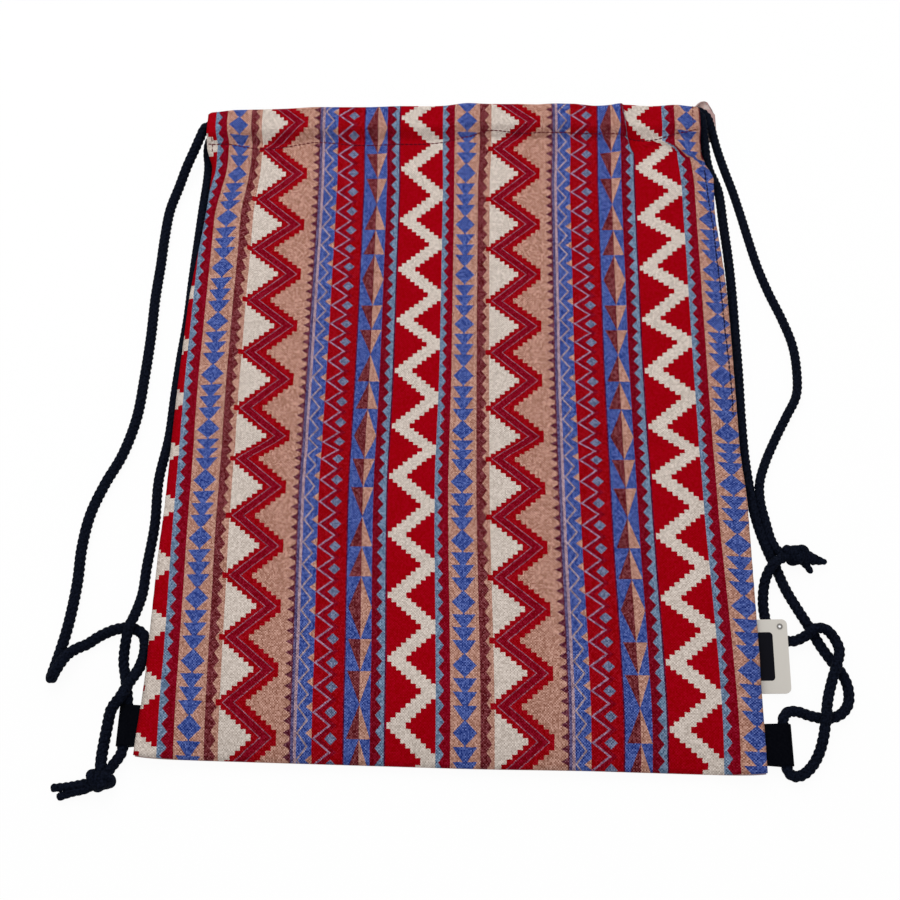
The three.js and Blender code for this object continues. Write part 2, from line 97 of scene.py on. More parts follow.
# Where pieces are drawn up to 6 mm off the solids: the casings' ends, the cloth's edges and the tag
BACK_GATHER = {"left": 0.008, "right": -0.0005}
BACK_END_RISE = 0.0178
BACK_RISES = (0.865, 0.970)
BACK_END_DROP = 0.008
BACK_DROPS = (0.97, 1.0)
BACK_SPREADS = (0.185, 0.203)
SEAM_PINCH = {"left": 0.009, "right": 0.0055}
PINCH_BELOW_STITCH = {"left": 0.018, "right": 0.028}
GATHER_RAMP = {"left": 0.014, "right": 0.020}
SIDE_DRAW = {"left": 0.0009, "right": 0.0020}
SIDE_DRAW_FROM = {"left": -0.100, "right": -0.065}
SIDE_DRAW_TO = {"left": 0.040, "right": 0.125}
SIDE_DRAW_FADE = 0.040
CORNER_FLARE = {"left": 0.0022, "right": 0.0}
CORNER_FLARE_REACH = 0.030
CORNER_ROUND = 0.0012
BOTTOM_SAG = 0.0009
BOTTOM_SAG_OVER = (0.0, 0.5)
TOP_WAVE_AT = (-0.155, -0.140, -0.010, 0.010, 0.043, 0.056, 0.069, 0.082, 0.095, 0.108, 0.121, 0.150)
TOP_WAVE = (-0.0012, 0, 0, 0.0010, 0.0011, 0, 0.0010, 0.0010, -0.0006, -0.0012, 0, -0.0006)
TAG_HEIGHT = 0.0409
TAG_HOLE_INSET = 0.0040
TAG_OUT = 0.0172

# Sizes that follow from them
TUNNEL = CORD_DIAMETER + 2 * CORD_CLEARANCE
LAYER_STEP = CLOTH + SEAM_GAP
CASING_STEP = TUNNEL + CLOTH
BACK_MIDDLE = CLOTH / 2
HEM_MIDDLE = CASING_STEP + CLOTH + MOUTH_GAP + CLOTH / 2
FRONT_MIDDLE = HEM_MIDDLE + LAYER_STEP
TOP_Y = BAG_HEIGHT / 2
STITCH_Y = TOP_Y - CASING_HEIGHT
TAB_GAP = 2 * TAB_CLOTH + SEAM_GAP
FRONT_RUN_Z = HEM_MIDDLE + CASING_STEP / 2
BACK_RUN_Z = BACK_MIDDLE + CASING_STEP / 2

# Colours as they look, in sRGB
RED = (152, 0, 13)
BRIGHT_RED = (144, 2, 13)
CRIMSON = (124, 3, 24)
DARK_CRIMSON = (112, 4, 23)
WHITE = (203, 190, 180)
TAN = (174, 128, 112)
BROWN = (104, 39, 44)
PURPLE_BROWN = (91, 38, 52)
BLUE = (62, 80, 146)
LIGHT_BLUE = (103, 124, 151)
PURPLE = (84, 74, 112)
PALE_LINE = (158, 131, 142)
MAUVE = (134, 82, 100)
PALE_MAUVE = (143, 110, 136)
GREY_TAN = (150, 130, 136)
STEEL_BLUE = (101, 108, 137)
DARK_LINE = (84, 12, 46)
REVERSE = (196, 172, 168)
CORD_BLACK = (2, 4, 11)
# The lighter flecks of the cords and webbing are painted highlight
CORD_HIGHLIGHT_FLECK = (18, 23, 37)
WEBBING_HIGHLIGHT_FLECK = (6, 7, 13)
WEBBING_BLACK = (1, 2, 7)
CARD_WHITE = (208, 203, 195)
CARD_DARK = (13, 13, 21)
RING_GREY = (126, 122, 118)
THREAD_MAROON = (92, 10, 30)
THREAD_NAVY = (30, 26, 56)
FLOOR_WHITE = (250, 250, 250)


def linear(colour):
    """A written sRGB colour as the linear RGBA that a shader socket takes."""
    parts = [c / 255 for c in colour]
    return (*[c / 12.92 if c <= 0.04045 else ((c + 0.055) / 1.055) ** 2.4 for c in parts], 1)


def smooth(low, high, value):
    t = np.clip((value - low) / (high - low), 0, 1)
    return t * t * (3 - 2 * t)


def bell(value, middle, width):
    return np.exp(-(((value - middle) / width) ** 2))


def mix(a, b, t):
    return a + (b - a) * t


def by_side(pair, u):
    return np.where(u < 0, pair["left"], pair["right"])


# Plan of the bag: u runs from -1 at the left edge to 1 at the right one
def bottom_y(u):
    sag = BOTTOM_SAG * (1 - smooth(*BOTTOM_SAG_OVER, u))
    return -BAG_HEIGHT / 2 - BOTTOM_SLANT * u + CORNER_ROUND * u**CORNER_POWER - sag


def front_top(u):
    wave = np.interp(u * BAG_WIDTH / 2, TOP_WAVE_AT, TOP_WAVE)
    return TOP_SLANT * u - TOP_DROOP * u**2 + wave


def back_top(u):
    return front_top(u) + BACK_END_RISE * smooth(*BACK_RISES, u) - BACK_END_DROP * smooth(*BACK_DROPS, u)


def half_width(u, y, gather):
    """From the middle to the bag's edge, on the side where u lies."""
    pinch_y = STITCH_Y - by_side(PINCH_BELOW_STITCH, u)
    pinch = by_side(SEAM_PINCH, u) * bell(y, pinch_y, by_side(PINCH_REACH, u))
    drawn = smooth(0, SIDE_DRAW_FADE, y - by_side(SIDE_DRAW_FROM, u))
    drawn = drawn * (1 - smooth(0, SIDE_DRAW_FADE, y - by_side(SIDE_DRAW_TO, u)))
    flare = by_side(CORNER_FLARE, u) * bell(y, -BAG_HEIGHT / 2, CORNER_FLARE_REACH)
    pinch = pinch + by_side(SIDE_DRAW, u) * drawn - flare
    spread = smooth(pinch_y, pinch_y + by_side(GATHER_RAMP, u), y)
    taken = mix(pinch, by_side(FRONT_GATHER, u), spread)
    return BAG_WIDTH / 2 - mix(taken, by_side(gather, u), smooth(*BACK_SPREADS, y))


def hem_end(u):
    return BAG_WIDTH / 2 - by_side(FRONT_GATHER, u) - HEM_SETBACK


def tab_top_y(u):
    return -BAG_HEIGHT / 2 - BOTTOM_SLANT * u + TAB_ABOVE_BOTTOM + TAB_WIDTH


def lift(u, y):
    start = tab_top_y(u) + LIFT_ABOVE_TAB
    return mix(BOTTOM_LIFT, by_side(SIDE_LIFT, u), smooth(start, start + LIFT_RAMP, y))


def seam_near(u, y, reach, falloff):
    """1 at the closed seams, 0 well inside the bag and at the open ends of the casings."""
    from_side = (1 - np.abs(u)) * (BAG_WIDTH / 2)
    from_bottom = y - bottom_y(u)
    closed = 1 - smooth(STITCH_Y - SEAM_OPENS, STITCH_Y, y - front_top(u))
    side = closed * falloff(np.clip(from_side / reach, 0, 1))
    return 1 - (1 - side) * (1 - falloff(np.clip(from_bottom / reach, 0, 1)))


def inside_seams(u, y):
    return 1 - seam_near(u, y, CREASE_FADE, lambda t: 1 - t)


def tab_swell(u, y):
    inward = (1 - np.abs(u)) * (BAG_WIDTH / 2) - TAB_SEWN_IN
    along = 1 - smooth(*TAB_SWELL_ALONG, y - tab_top_y(u))
    return TAB_GAP * along * (1 - smooth(*TAB_SWELL_INWARD, inward))


# Puckers that the drawn cords leave in the front: place, width, height and lean
PUCKERS = [
    (-0.148, 0.009, 0.0022, 0.15),
    (-0.096, 0.012, 0.0012, 0),
    (-0.040, 0.013, 0.0011, 0.05),
    (0.004, 0.009, 0.0020, 0),
    (0.054, 0.012, 0.0012, 0.05),
    (0.102, 0.009, 0.0024, -0.15),
    (0.140, 0.009, 0.0030, -0.5),
]
PUCKER_FADE = 0.038


def puckers(x, y):
    below = np.maximum(STITCH_Y - y, 0)
    fade = np.exp(-((below / PUCKER_FADE) ** 2))
    return sum(height * fade * bell(x, at - lean * below, width) for at, width, height, lean in PUCKERS)


def crease(u, y):
    return CREASE_DEPTH * bell(y, CREASE_Y, CREASE_WIDTH) * inside_seams(u, y)


# The small unevenness of a washed cloth: wave lengths across and along, height and start of each wave
CLOTH_WAVES = [
    (0.083, 0.210, 0.00030, 1.3),
    (-0.190, 0.071, 0.00025, 4.1),
    (0.047, -0.150, 0.00014, 2.2),
    (0.120, 0.052, 0.00016, 0.4),
]
SEAM_RIPPLE = 0.00035
SEAM_RIPPLE_REACH = 0.010
SEAM_RIPPLE_LENGTHS = (0.0127, 0.0091)
STITCH_DENT = 0.0005
STITCH_DENT_WIDTH = 0.0022


def unevenness(u, x, y):
    waves = sum(
        height * np.sin(2 * math.pi * (x / across + y / along) + start)
        for across, along, height, start in CLOTH_WAVES
    )
    near = seam_near(u, y, SEAM_RIPPLE_REACH, lambda t: 4 * t * (1 - t))
    ripple = sum(np.sin(2 * math.pi * (x + y) / length) for length in SEAM_RIPPLE_LENGTHS)
    return inside_seams(u, y) * waves + SEAM_RIPPLE * near * ripple


def stitch_dent(u, y):
    return STITCH_DENT * bell(y - front_top(u), STITCH_Y, STITCH_DENT_WIDTH)


# Two folds at the casing's right end: a tuck that leans to the right as it goes down, and from its foot
# the edge where the casing hangs over the cloth below
TUCK_TOP_X = 0.105
TUCK_LEAN = 0.16
TUCK_RISE = 0.0017
TUCK_ROUND = 0.006
TUCK_RISES = (0.158, 0.180)
FOLD_AT = (0.105, 0.1255, 0.133, 0.141, 0.146, 0.1545)
FOLD_Y = (0.178, 0.186, 0.184, 0.179, 0.175, 0.173)
FOLD_RISE = 0.0018
FOLD_ROUND = 0.010
FOLD_RISES = (0.112, 0.128)
FOLD_DROP = 0.0009


def tuck_x(y):
    return TUCK_TOP_X + TUCK_LEAN * (TOP_Y - np.minimum(y, TOP_Y))


def fold_y(x):
    return np.interp(x, FOLD_AT, FOLD_Y)


def fold_edge(behind, rounding):
    """1 at a fold's edge, rounded off behind it and dropping sharply before it."""
    return np.exp(-((behind / np.where(behind < 0, FOLD_DROP, rounding)) ** 2))


def folds(x, y):
    tuck = TUCK_RISE * fold_edge(tuck_x(y) - x, TUCK_ROUND) * smooth(*TUCK_RISES, y)
    fold = FOLD_RISE * fold_edge(y - fold_y(x), FOLD_ROUND) * smooth(*FOLD_RISES, x)
    return np.maximum(tuck, fold)


def front_relief(u, x, y):
    return puckers(x, y) + folds(x, y) - crease(u, y) + unevenness(u, x, y) - stitch_dent(u, y)


def front_shape(u, y):
    pillow = seam_near(u, y, PILLOW_REACH, lambda t: (1 - t) ** 2)
    return tab_swell(u, y) - pillow * (FRONT_MIDDLE - lift(u, y) - LAYER_STEP - CLOTH / 2)


def back_shape(u, y):
    return seam_near(u, y, LIFT_REACH, lambda t: 1 - smooth(0, 1, t)) * lift(u, y)


def casing_bulge(y):
    return mix(LAYER_STEP, CASING_STEP, smooth(STITCH_Y, STITCH_Y + CASING_RISE, y))


# The way of each panel's cloth: where its rows lie, from the bottom edge round the casing to the hem
BEND_ROWS = 9


def uneven(*spans):
    """Places over spans of (start, end, step), each span at its own step, without the last end."""
    return np.concatenate([
        np.linspace(start, end, round((end - start) / step), endpoint=False) for start, end, step in spans
    ])


def cloth_way(v, casing_rows, outer, hem):
    """Rows of (v up the panel, y in the casing, height, hem) and each row's way along the casing."""
    radius = CASING_STEP / 2
    bend_y = TOP_Y - radius
    panel_rows = v.size
    up = np.linspace(STITCH_Y, bend_y, casing_rows + 1)
    turn = np.linspace(0, math.pi, BEND_ROWS + 2)[1:-1]
    down = np.linspace(bend_y, STITCH_Y - HEM_TURN, casing_rows + 1)
    centre = (outer(bend_y) + hem(bend_y)) / 2
    start = 1 if outer(bend_y) > centre else -1
    y = np.concatenate([np.full(panel_rows, STITCH_Y), up, bend_y + radius * np.sin(turn), down])
    height = np.concatenate([
        np.full(panel_rows, outer(STITCH_Y)), outer(up), centre + start * radius * np.cos(turn), hem(down),
    ])
    inside = np.concatenate([np.zeros(panel_rows + casing_rows + 1), turn / math.pi, np.ones(down.size)])
    share = np.concatenate([v, np.full(y.size - panel_rows, np.nan)])
    length = np.concatenate([[0], np.cumsum(np.hypot(np.diff(y), np.diff(height)))])
    return share, y, height, inside, length


def panel_grid(columns, rows, casing_rows, gather, top, outer, hem, shape, relief):
    """Points on the middle of a panel's cloth, and where each lies on the flat cloth."""
    share, y, height, inside, length = cloth_way(uneven(*rows), casing_rows, outer, hem)
    u = np.append(uneven(*columns), 1)[:, None]
    on_panel = ~np.isnan(share)
    up_panel = mix(bottom_y(u), STITCH_Y + top(u), np.nan_to_num(share))
    casing_end = BAG_WIDTH / 2 - by_side(gather, u)
    flat_y = np.where(on_panel, up_panel, y + top(u * mix(1, hem_end(u) / casing_end, inside)))
    half = half_width(u, flat_y, gather)
    x = u * mix(half, hem_end(u), inside)
    z = height + shape(x / half, flat_y) + (1 - inside) * relief(x / half, x, flat_y)
    along = np.where(on_panel, up_panel, STITCH_Y + top(u) + length)
    return np.stack([x, flat_y, z], axis=-1), x, along


# Meshes and pieces
def new_object(name, data):
    made = bpy.data.objects.new(name, data)
    bpy.context.scene.collection.objects.link(made)
    return made


def new_piece(name, mesh, looks, node=None):
    """A visible piece, which rides with the bag and stands for one of its solids or for none."""
    piece = new_object(name, mesh)
    for look in looks:
        mesh.materials.append(look)
    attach(piece, "root")
    if node:
        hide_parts(node)
    return piece


def mesh_of(name, points, faces):
    mesh = bpy.data.meshes.new(name)
    mesh.from_pydata(np.asarray(points).tolist(), [], faces)
    mesh.polygons.foreach_set("use_smooth", [True] * len(mesh.polygons))
    mesh.update()
    return mesh


def set_uv(mesh, name, by_point):
    """A UV map that gives each point of the mesh one place."""
    corners = np.empty(len(mesh.loops), dtype=np.int32)
    mesh.loops.foreach_get("vertex_index", corners)
    layer = mesh.uv_layers.new(name=name)
    layer.data.foreach_set("uv", np.asarray(by_point, dtype=np.float32)[corners].ravel())


def cloth_sheet(middle, thickness):
    """A closed sheet round a grid of middle points: faces of the outer side, the inner side and the rim."""
    across, along = np.gradient(middle, axis=0), np.gradient(middle, axis=1)
    normal = np.cross(across, along)
    normal /= np.linalg.norm(normal, axis=-1, keepdims=True)
    points = np.concatenate([
        (middle + normal * thickness / 2).reshape(-1, 3),
        (middle - normal * thickness / 2).reshape(-1, 3),
    ])
    columns, rows = middle.shape[0] - 1, middle.shape[1] - 1
    at = np.arange((columns + 1) * (rows + 1)).reshape(columns + 1, rows + 1)
    outer = np.stack([at[:-1, :-1], at[1:, :-1], at[1:, 1:], at[:-1, 1:]], axis=-1).reshape(-1, 4)
    inner = outer[:, ::-1] + at.size
    edge = np.concatenate([at[:, 0], at[-1, 1:], at[-2::-1, -1], at[0, -2::-1]])
    start, end = edge[:-1], edge[1:]
    rim = np.stack([start, start + at.size, end + at.size, end], axis=-1)
    return points, np.concatenate([outer, inner, rim]).tolist(), len(outer)


# Shader nodes
def put(tree, socket, value):
    """Gives a socket its own value, or a link from a number or another socket."""
    if isinstance(value, Number):
        value = value.socket
    if isinstance(value, bpy.types.NodeSocket):
        tree.links.new(value, socket)
    else:
        socket.default_value = value


def add_node(tree, kind, **inputs):
    made = tree.nodes.new("ShaderNode" + kind)
    for name, value in inputs.items():
        put(tree, made.inputs[name], value)
    return made


def mixed(tree, share, under, above, blend="MIX"):
    """A colour mixed from two, by the node's sockets for colours. An added one stays between 0 and 1."""
    made = add_node(tree, "Mix")
    made.data_type = "RGBA"
    made.blend_type = blend
    made.clamp_result = blend == "ADD"
    for place, value in ((0, share), (6, under), (7, above)):
        put(tree, made.inputs[place], value)
    return made.outputs[2]


def operation(name):
    return lambda self, *others: self.math(name, self, *others)


class Number:
    """A number over a surface: arithmetic on it adds math nodes to the material."""

    __add__ = operation("ADD")
    __sub__ = operation("SUBTRACT")
    __mul__ = __and__ = operation("MULTIPLY")
    __truediv__ = operation("DIVIDE")
    __lt__ = operation("LESS_THAN")
    __gt__ = operation("GREATER_THAN")
    at_least = operation("MAXIMUM")
    at_most = operation("MINIMUM")
    size = operation("ABSOLUTE")
    fraction = operation("FRACT")
    whole = operation("FLOOR")
    sine = operation("SINE")

    def __init__(self, tree, socket):
        self.tree = tree
        self.socket = socket

    def math(self, name, *inputs):
        made = add_node(self.tree, "Math")
        made.operation = name
        for socket, value in zip(made.inputs, inputs):
            put(self.tree, socket, value)
        return Number(self.tree, made.outputs[0])

    def __rsub__(self, other):
        return self.math("SUBTRACT", other, self)

    def away_from(self, other):
        return (self - other).size()

    def zigzag(self):
        """0 at whole numbers, 1 half way between them, straight in between."""
        return self.math("PINGPONG", self, 0.5) * 2

    def stairs(self):
        """The zigzag in level steps, held a little longer at its two ends."""
        return (self.zigzag() * STAIR_RISE + STAIR_START).whole() / STAIRS


class Paint:
    """The print's colour at x, built up by painting one colour over another."""

    def __init__(self, tree, x, colour):
        self.tree = tree
        self.x = x
        self.colour = linear(colour)

    def over(self, mask, colour):
        self.colour = mixed(self.tree, mask, self.colour, linear(colour))

    def right_of(self, edge, colour):
        self.over(self.x > edge, colour)

    def between(self, left, right, colour):
        self.over((self.x > left) & (self.x < right), colour)

    def near(self, middle, reach, colour):
        self.over(self.x.away_from(middle) < reach, colour)


# The print: one repeat's size, and where the white zigzag's left tips lie on the front
PRINT_WIDTH = 0.152
PRINT_HEIGHT = 0.0361
PRINT_TIP_X = -0.0375
PRINT_TIP_Y = 0.1988

# How the cloth has drawn the print: wider in the lower half, leaning and turned at the foot, taken in by
# the crease and above it, eased at the top, and aside by so much at places across, high up and low down
PRINT_MIDDLE_X = 0.017
PRINT_CROWDED = 1.01
PRINT_SPREAD = 0.9935
PRINT_SPREADS = (0.030, -0.060)
PRINT_LEAN = 0.0032
PRINT_LEANS = (-0.040, -0.200)
PRINT_TILT = 0.006
PRINT_TILTS = (-0.050, -0.180)
CREASE_TAKES = 0.0039
CREASE_TAKES_OVER = 0.012
MIDDLE_TAKES = 0.002
MIDDLE_TAKES_OVER = (0.070, 0.030)
TOP_EASE = 0.004
TOP_EASES = (0.115, 0.205)
ASIDE_AT = (
    -0.169, -0.152, -0.128, -0.100, -0.070, -0.040, -0.010,
    0.010, 0.070, 0.120, 0.136, 0.152, 0.169,
)
ASIDE_HIGH = (
    -0.0035, -0.002, -0.0002, 0.0008, 0.0009, 0.0008, 0.0007,
    -0.001, -0.001, -0.0002, 0.0016, 0.0026, 0.0048,
)
ASIDE_LOW = (
    0.0005, 0.0025, 0.003, 0.0024, 0.0016, 0.0005, -0.0005,
    -0.0006, -0.0007, -0.0006, 0.0005, 0.0010, 0.0040,
)

# On the casing it is drawn in further: to the right at the left end, and under a tuck at the right one
CASING_DRAWS = 0.0045
CASING_DRAWS_X = (-0.100, -0.158)
CASING_DRAWS_Y = (0.130, 0.168)
CASING_EASE = 0.4
CASING_EASES_Y = (0.180, 0.200)
CASING_FADES_Y = (0.150, 0.185)
TUCK_TAKES = 0.009
TUCK_WIDTH = 0.0005
FOLD_FADES = (0.010, 0.0015)
FOLD_SHARPENS = (0.115, 0.130)

# Near the side seams it is drawn up, by so much at places up the bag
SIDE_UP_AT = (-0.020, 0.020, 0.056, 0.095, 0.131, 0.162, 0.198)
LEFT_UP = (0.0011, 0.0019, 0.0031, 0.0069, 0.0067, 0.001, -0.003)
LEFT_UP_OVER = (-0.126, -0.142)
RIGHT_UP = (0, 0.0021, 0.0032, 0.0048, 0.0059, 0.0022, 0)
RIGHT_UP_OVER = (0.100, 0.148)


def print_place(x, along):
    """Where a point of the cloth lies in the print, in repeats across and down."""
    low = smooth(*PRINT_SPREADS, along)
    aside = mix(np.interp(x, ASIDE_AT, ASIDE_HIGH), np.interp(x, ASIDE_AT, ASIDE_LOW), low)
    aside = aside * (1 - smooth(*CASING_FADES_Y, along)) + PRINT_LEAN * smooth(*PRINT_LEANS, along)
    casing = smooth(*CASING_DRAWS_Y, along) * (1 - CASING_EASE * smooth(*CASING_EASES_Y, along))
    aside = aside + CASING_DRAWS * smooth(*CASING_DRAWS_X, x) * casing
    past_tuck = smooth(-TUCK_WIDTH / 2, TUCK_WIDTH / 2, x - tuck_x(along))
    over_fold = smooth(-0.5, 0.5, (along - fold_y(x)) / mix(*FOLD_FADES, smooth(*FOLD_SHARPENS, x)))
    tucked = TUCK_TAKES * past_tuck * over_fold
    stretch = mix(PRINT_CROWDED, PRINT_SPREAD, low)
    flat_x = PRINT_MIDDLE_X + (x - aside + tucked - PRINT_MIDDLE_X) * stretch
    shift = CREASE_TAKES * smooth(CREASE_Y + CREASE_TAKES_OVER, CREASE_Y - CREASE_TAKES_OVER, along)
    shift = shift + MIDDLE_TAKES * smooth(*MIDDLE_TAKES_OVER, along) + TOP_EASE * smooth(*TOP_EASES, along)
    shift = shift - PRINT_TILT * x * smooth(*PRINT_TILTS, along)
    shift = shift + np.interp(along, SIDE_UP_AT, LEFT_UP) * smooth(*LEFT_UP_OVER, x)
    shift = shift + np.interp(along, SIDE_UP_AT, RIGHT_UP) * smooth(*RIGHT_UP_OVER, x)
    across = (flat_x - PRINT_TIP_X) / PRINT_WIDTH
    down = (PRINT_TIP_Y - (along - shift)) / PRINT_HEIGHT
    return np.stack([across, down], axis=-1)


# Places and sizes in the print: metres across one repeat, and shares of a repeat down
BLUE_TEETH_X, TAN_X, BROWN_X, WHITE_X = 0.0271, 0.0350, 0.0512, 0.0588
PURPLE_X, PALE_X, BLUE_X, RED_X = 0.0987, 0.1003, 0.1019, 0.1104
SPLIT_LINE_X, SPLIT_X, CRIMSON_X, LAST_LINE_X, NEXT_RED_X = 0.1275, 0.1283, 0.1428, 0.1505, 0.1514
STAIRS, STAIR_RISE, STAIR_START = 7, 7.4, 0.3
WHITE_LEFT, WHITE_SWING, WHITE_BREADTH = -0.0005, 0.0194, 0.0111
CHAIN_START, CHAIN_MIDDLE, CHAIN_HALF, CHAIN_LEAST = 0.096, 0.0429, 0.0066, 0.0005
DIAMOND_HALF, DIAMOND_END, TRIANGLE_HIGH, TRIANGLE_TAPER = 0.188, 0.385, 0.205, 0.8
BAND_START, BAND_LEFT, BAND_SWING, BAND_BREADTH, BAND_END = 0.41, 0.0566, 0.0201, 0.0170, 0.0908
BAND_SLIP, BAND_SLIPS_FROM, BAND_SLIPS_OVER = 0.11, 3, 3
LINE_LEFT, LINE_SWING = 0.0556, 0.0214
BAND_LINES = ((0.0044, 0.0052, CRIMSON), (0.0107, 0.0115, BRIGHT_RED))
SMALL_TEETH_X, SMALL_TOOTH = 0.0980, 0.0037
WAVE_HIGH, WAVE_SWING, POINTS_LEFT = 0.375, 0.0090, 0.1068
THIN_START, THIN_LEFT, THIN_SWING, THIN_HALF = 0.33, 0.1023, 0.0054, 0.0006
MAUVE_START, MAUVE_LEFT, MAUVE_HALF, MAUVE_SHADOW = 0.87, 0.1112, 0.0008, 0.0040
GEM_MIDDLE, GEM_HALF, GEM_TAPER = 0.1208, 0.0035, 2.1
SPLIT_START, SPLIT_HIGH = 2.7, 3
SPLIT_MIDDLE, SPLIT_LEFT, SPLIT_RIGHT = 0.1366, 0.0072, 0.0062


def teeth(down, count, start, swing, left):
    """A toothed edge, with so many teeth to a repeat, that swings so far from its left limit."""
    return (down * count + start).zigzag() * swing + left


def print_colour(tree, x, down):
    """The print at x metres across one repeat and so many repeats down."""
    paint = Paint(tree, x, RED)

    # White stepped zigzag on the red field
    zigzag = down.stairs() * WHITE_SWING + WHITE_LEFT
    paint.between(zigzag, zigzag + WHITE_BREADTH, WHITE)

    # Light-blue teeth, and a crimson band
    paint.right_of(BLUE_TEETH_X, LIGHT_BLUE)
    paint.right_of(teeth(down, count=4.36, start=0.82, swing=0.0030, left=0.0286), CRIMSON)

    # Tan band with a chain of blue diamonds and triangles
    paint.right_of(TAN_X, TAN)
    part = (down + CHAIN_START).fraction()
    diamond = 1 - (part / DIAMOND_HALF).away_from(1)
    triangle = 1 - ((part - DIAMOND_END) / TRIANGLE_HIGH).fraction() * TRIANGLE_TAPER
    half = triangle + (part < DIAMOND_END) * (diamond - triangle)
    paint.near(CHAIN_MIDDLE, (half * CHAIN_HALF).at_least(CHAIN_LEAST), BLUE)

    # Brown teeth, then white
    paint.right_of(BROWN_X, BROWN)
    paint.right_of(teeth(down, count=4.25, start=0.72, swing=0.0029, left=0.0545), TAN)
    paint.right_of(WHITE_X, WHITE)

    # Red zigzag band with two thin lines, which slips a little against the rest further down
    slip = ((down - BAND_SLIPS_FROM) / BAND_SLIPS_OVER).at_least(0).at_most(1) * BAND_SLIP
    shifted = down + BAND_START - slip
    left = shifted.stairs() * BAND_SWING + BAND_LEFT
    line = shifted.zigzag() * LINE_SWING + LINE_LEFT
    paint.right_of(left, BRIGHT_RED)
    for start, end, after in BAND_LINES:
        paint.right_of(line + start, MAUVE)
        paint.right_of(line + end, after)
    paint.right_of((left + BAND_BREADTH).at_most(BAND_END), TAN)

    # Small brown teeth apart, a purple stripe with a dark edge, and a pale line
    tooth = teeth(down, count=5.85, start=0.42, swing=1.5, left=-0.5).at_least(0)
    paint.right_of(SMALL_TEETH_X - tooth * SMALL_TOOTH, PURPLE_BROWN)
    paint.right_of(PURPLE_X, PURPLE)
    paint.right_of(PALE_X, PALE_LINE)

    # Blue column with a thin zigzag line and tan points
    paint.right_of(BLUE_X, BLUE)
    turn = down / WAVE_HIGH
    wave = (turn + THIN_START).zigzag()
    paint.near(wave * THIN_SWING + THIN_LEFT, THIN_HALF, GREY_TAN)
    paint.right_of(wave * WAVE_SWING + POINTS_LEFT, TAN)

    # Red column with a mauve zigzag line, and diamonds between its points
    paint.right_of(RED_X, BRIGHT_RED)
    wave = (turn - MAUVE_START).zigzag()
    line = wave * WAVE_SWING + MAUVE_LEFT
    paint.between(line, line + MAUVE_SHADOW, CRIMSON)
    paint.near(line, MAUVE_HALF, PALE_MAUVE)
    paint.over(x.away_from(GEM_MIDDLE) / GEM_HALF + wave * GEM_TAPER < 1, STEEL_BLUE)

    # Blue column with split diamonds and triangles, three repeats high
    paint.right_of(SPLIT_LINE_X, DARK_LINE)
    paint.right_of(SPLIT_X, BLUE)
    part = ((down - SPLIT_START) / SPLIT_HIGH).fraction() * SPLIT_HIGH
    saw = (part * 2).fraction()
    diamond = 1 - (part * 2).away_from(1)
    half = (1 - saw) + (part > 2) * (saw * 2 - 1)
    half = half + (part < 1) * (diamond - half)
    paint.between(SPLIT_MIDDLE - half * SPLIT_LEFT, SPLIT_MIDDLE, BROWN)
    paint.between(SPLIT_MIDDLE, half * SPLIT_RIGHT + SPLIT_MIDDLE, TAN)

    # Crimson band, light-blue teeth and a dark line
    paint.right_of(CRIMSON_X, DARK_CRIMSON)
    paint.right_of(teeth(down, count=4.3, start=0.81, swing=-0.0035, left=0.1491), LIGHT_BLUE)
    paint.right_of(LAST_LINE_X, DARK_LINE)
    paint.right_of(NEXT_RED_X, RED)
    return paint.colour


# Materials
def material(name):
    made = bpy.data.materials.new(name)
    made.use_nodes = True
    return made, made.node_tree, made.node_tree.nodes["Principled BSDF"]


def finish(shader, roughness, gloss):
    shader.inputs["Roughness"].default_value = roughness
    shader.inputs["Specular IOR Level"].default_value = gloss


def plain(name, colour, roughness, gloss):
    made, _, shader = material(name)
    shader.inputs["Base Color"].default_value = linear(colour)
    finish(shader, roughness, gloss)
    return made


def noise(tree, place, scale, detail):
    """Soft noise, even about 0."""
    made = add_node(tree, "TexNoise", Vector=place, Scale=scale, Detail=detail)
    return Number(tree, made.outputs[0]) - 0.5


THREAD_ACROSS = 0.00074
THREAD_ALONG = 0.00076
WEAVE_DEPTH = 0.00008
WEAVE_SHADE = 0.19
THREAD_SHADE = 0.24
CLOTH_SHADE = 0.03
WEAVE_WANDER = 0.0005
WANDER_NOISE = {"scale": 90, "detail": 2}
GRAIN_NOISE = {"scale": 160, "detail": 3}
HIGHLIGHT_FLECK_NOISE = {"scale": 900, "detail": 2}
HIGHLIGHT_FLECK_CONTRAST = 2.5
DEEP_DYE_SHADE = 0.3
PALE_DYE_SHADE = 5
WHITE_CALM = 1.6
WHITE_FROM = 0.55
EYE_GAMMA = 2.2


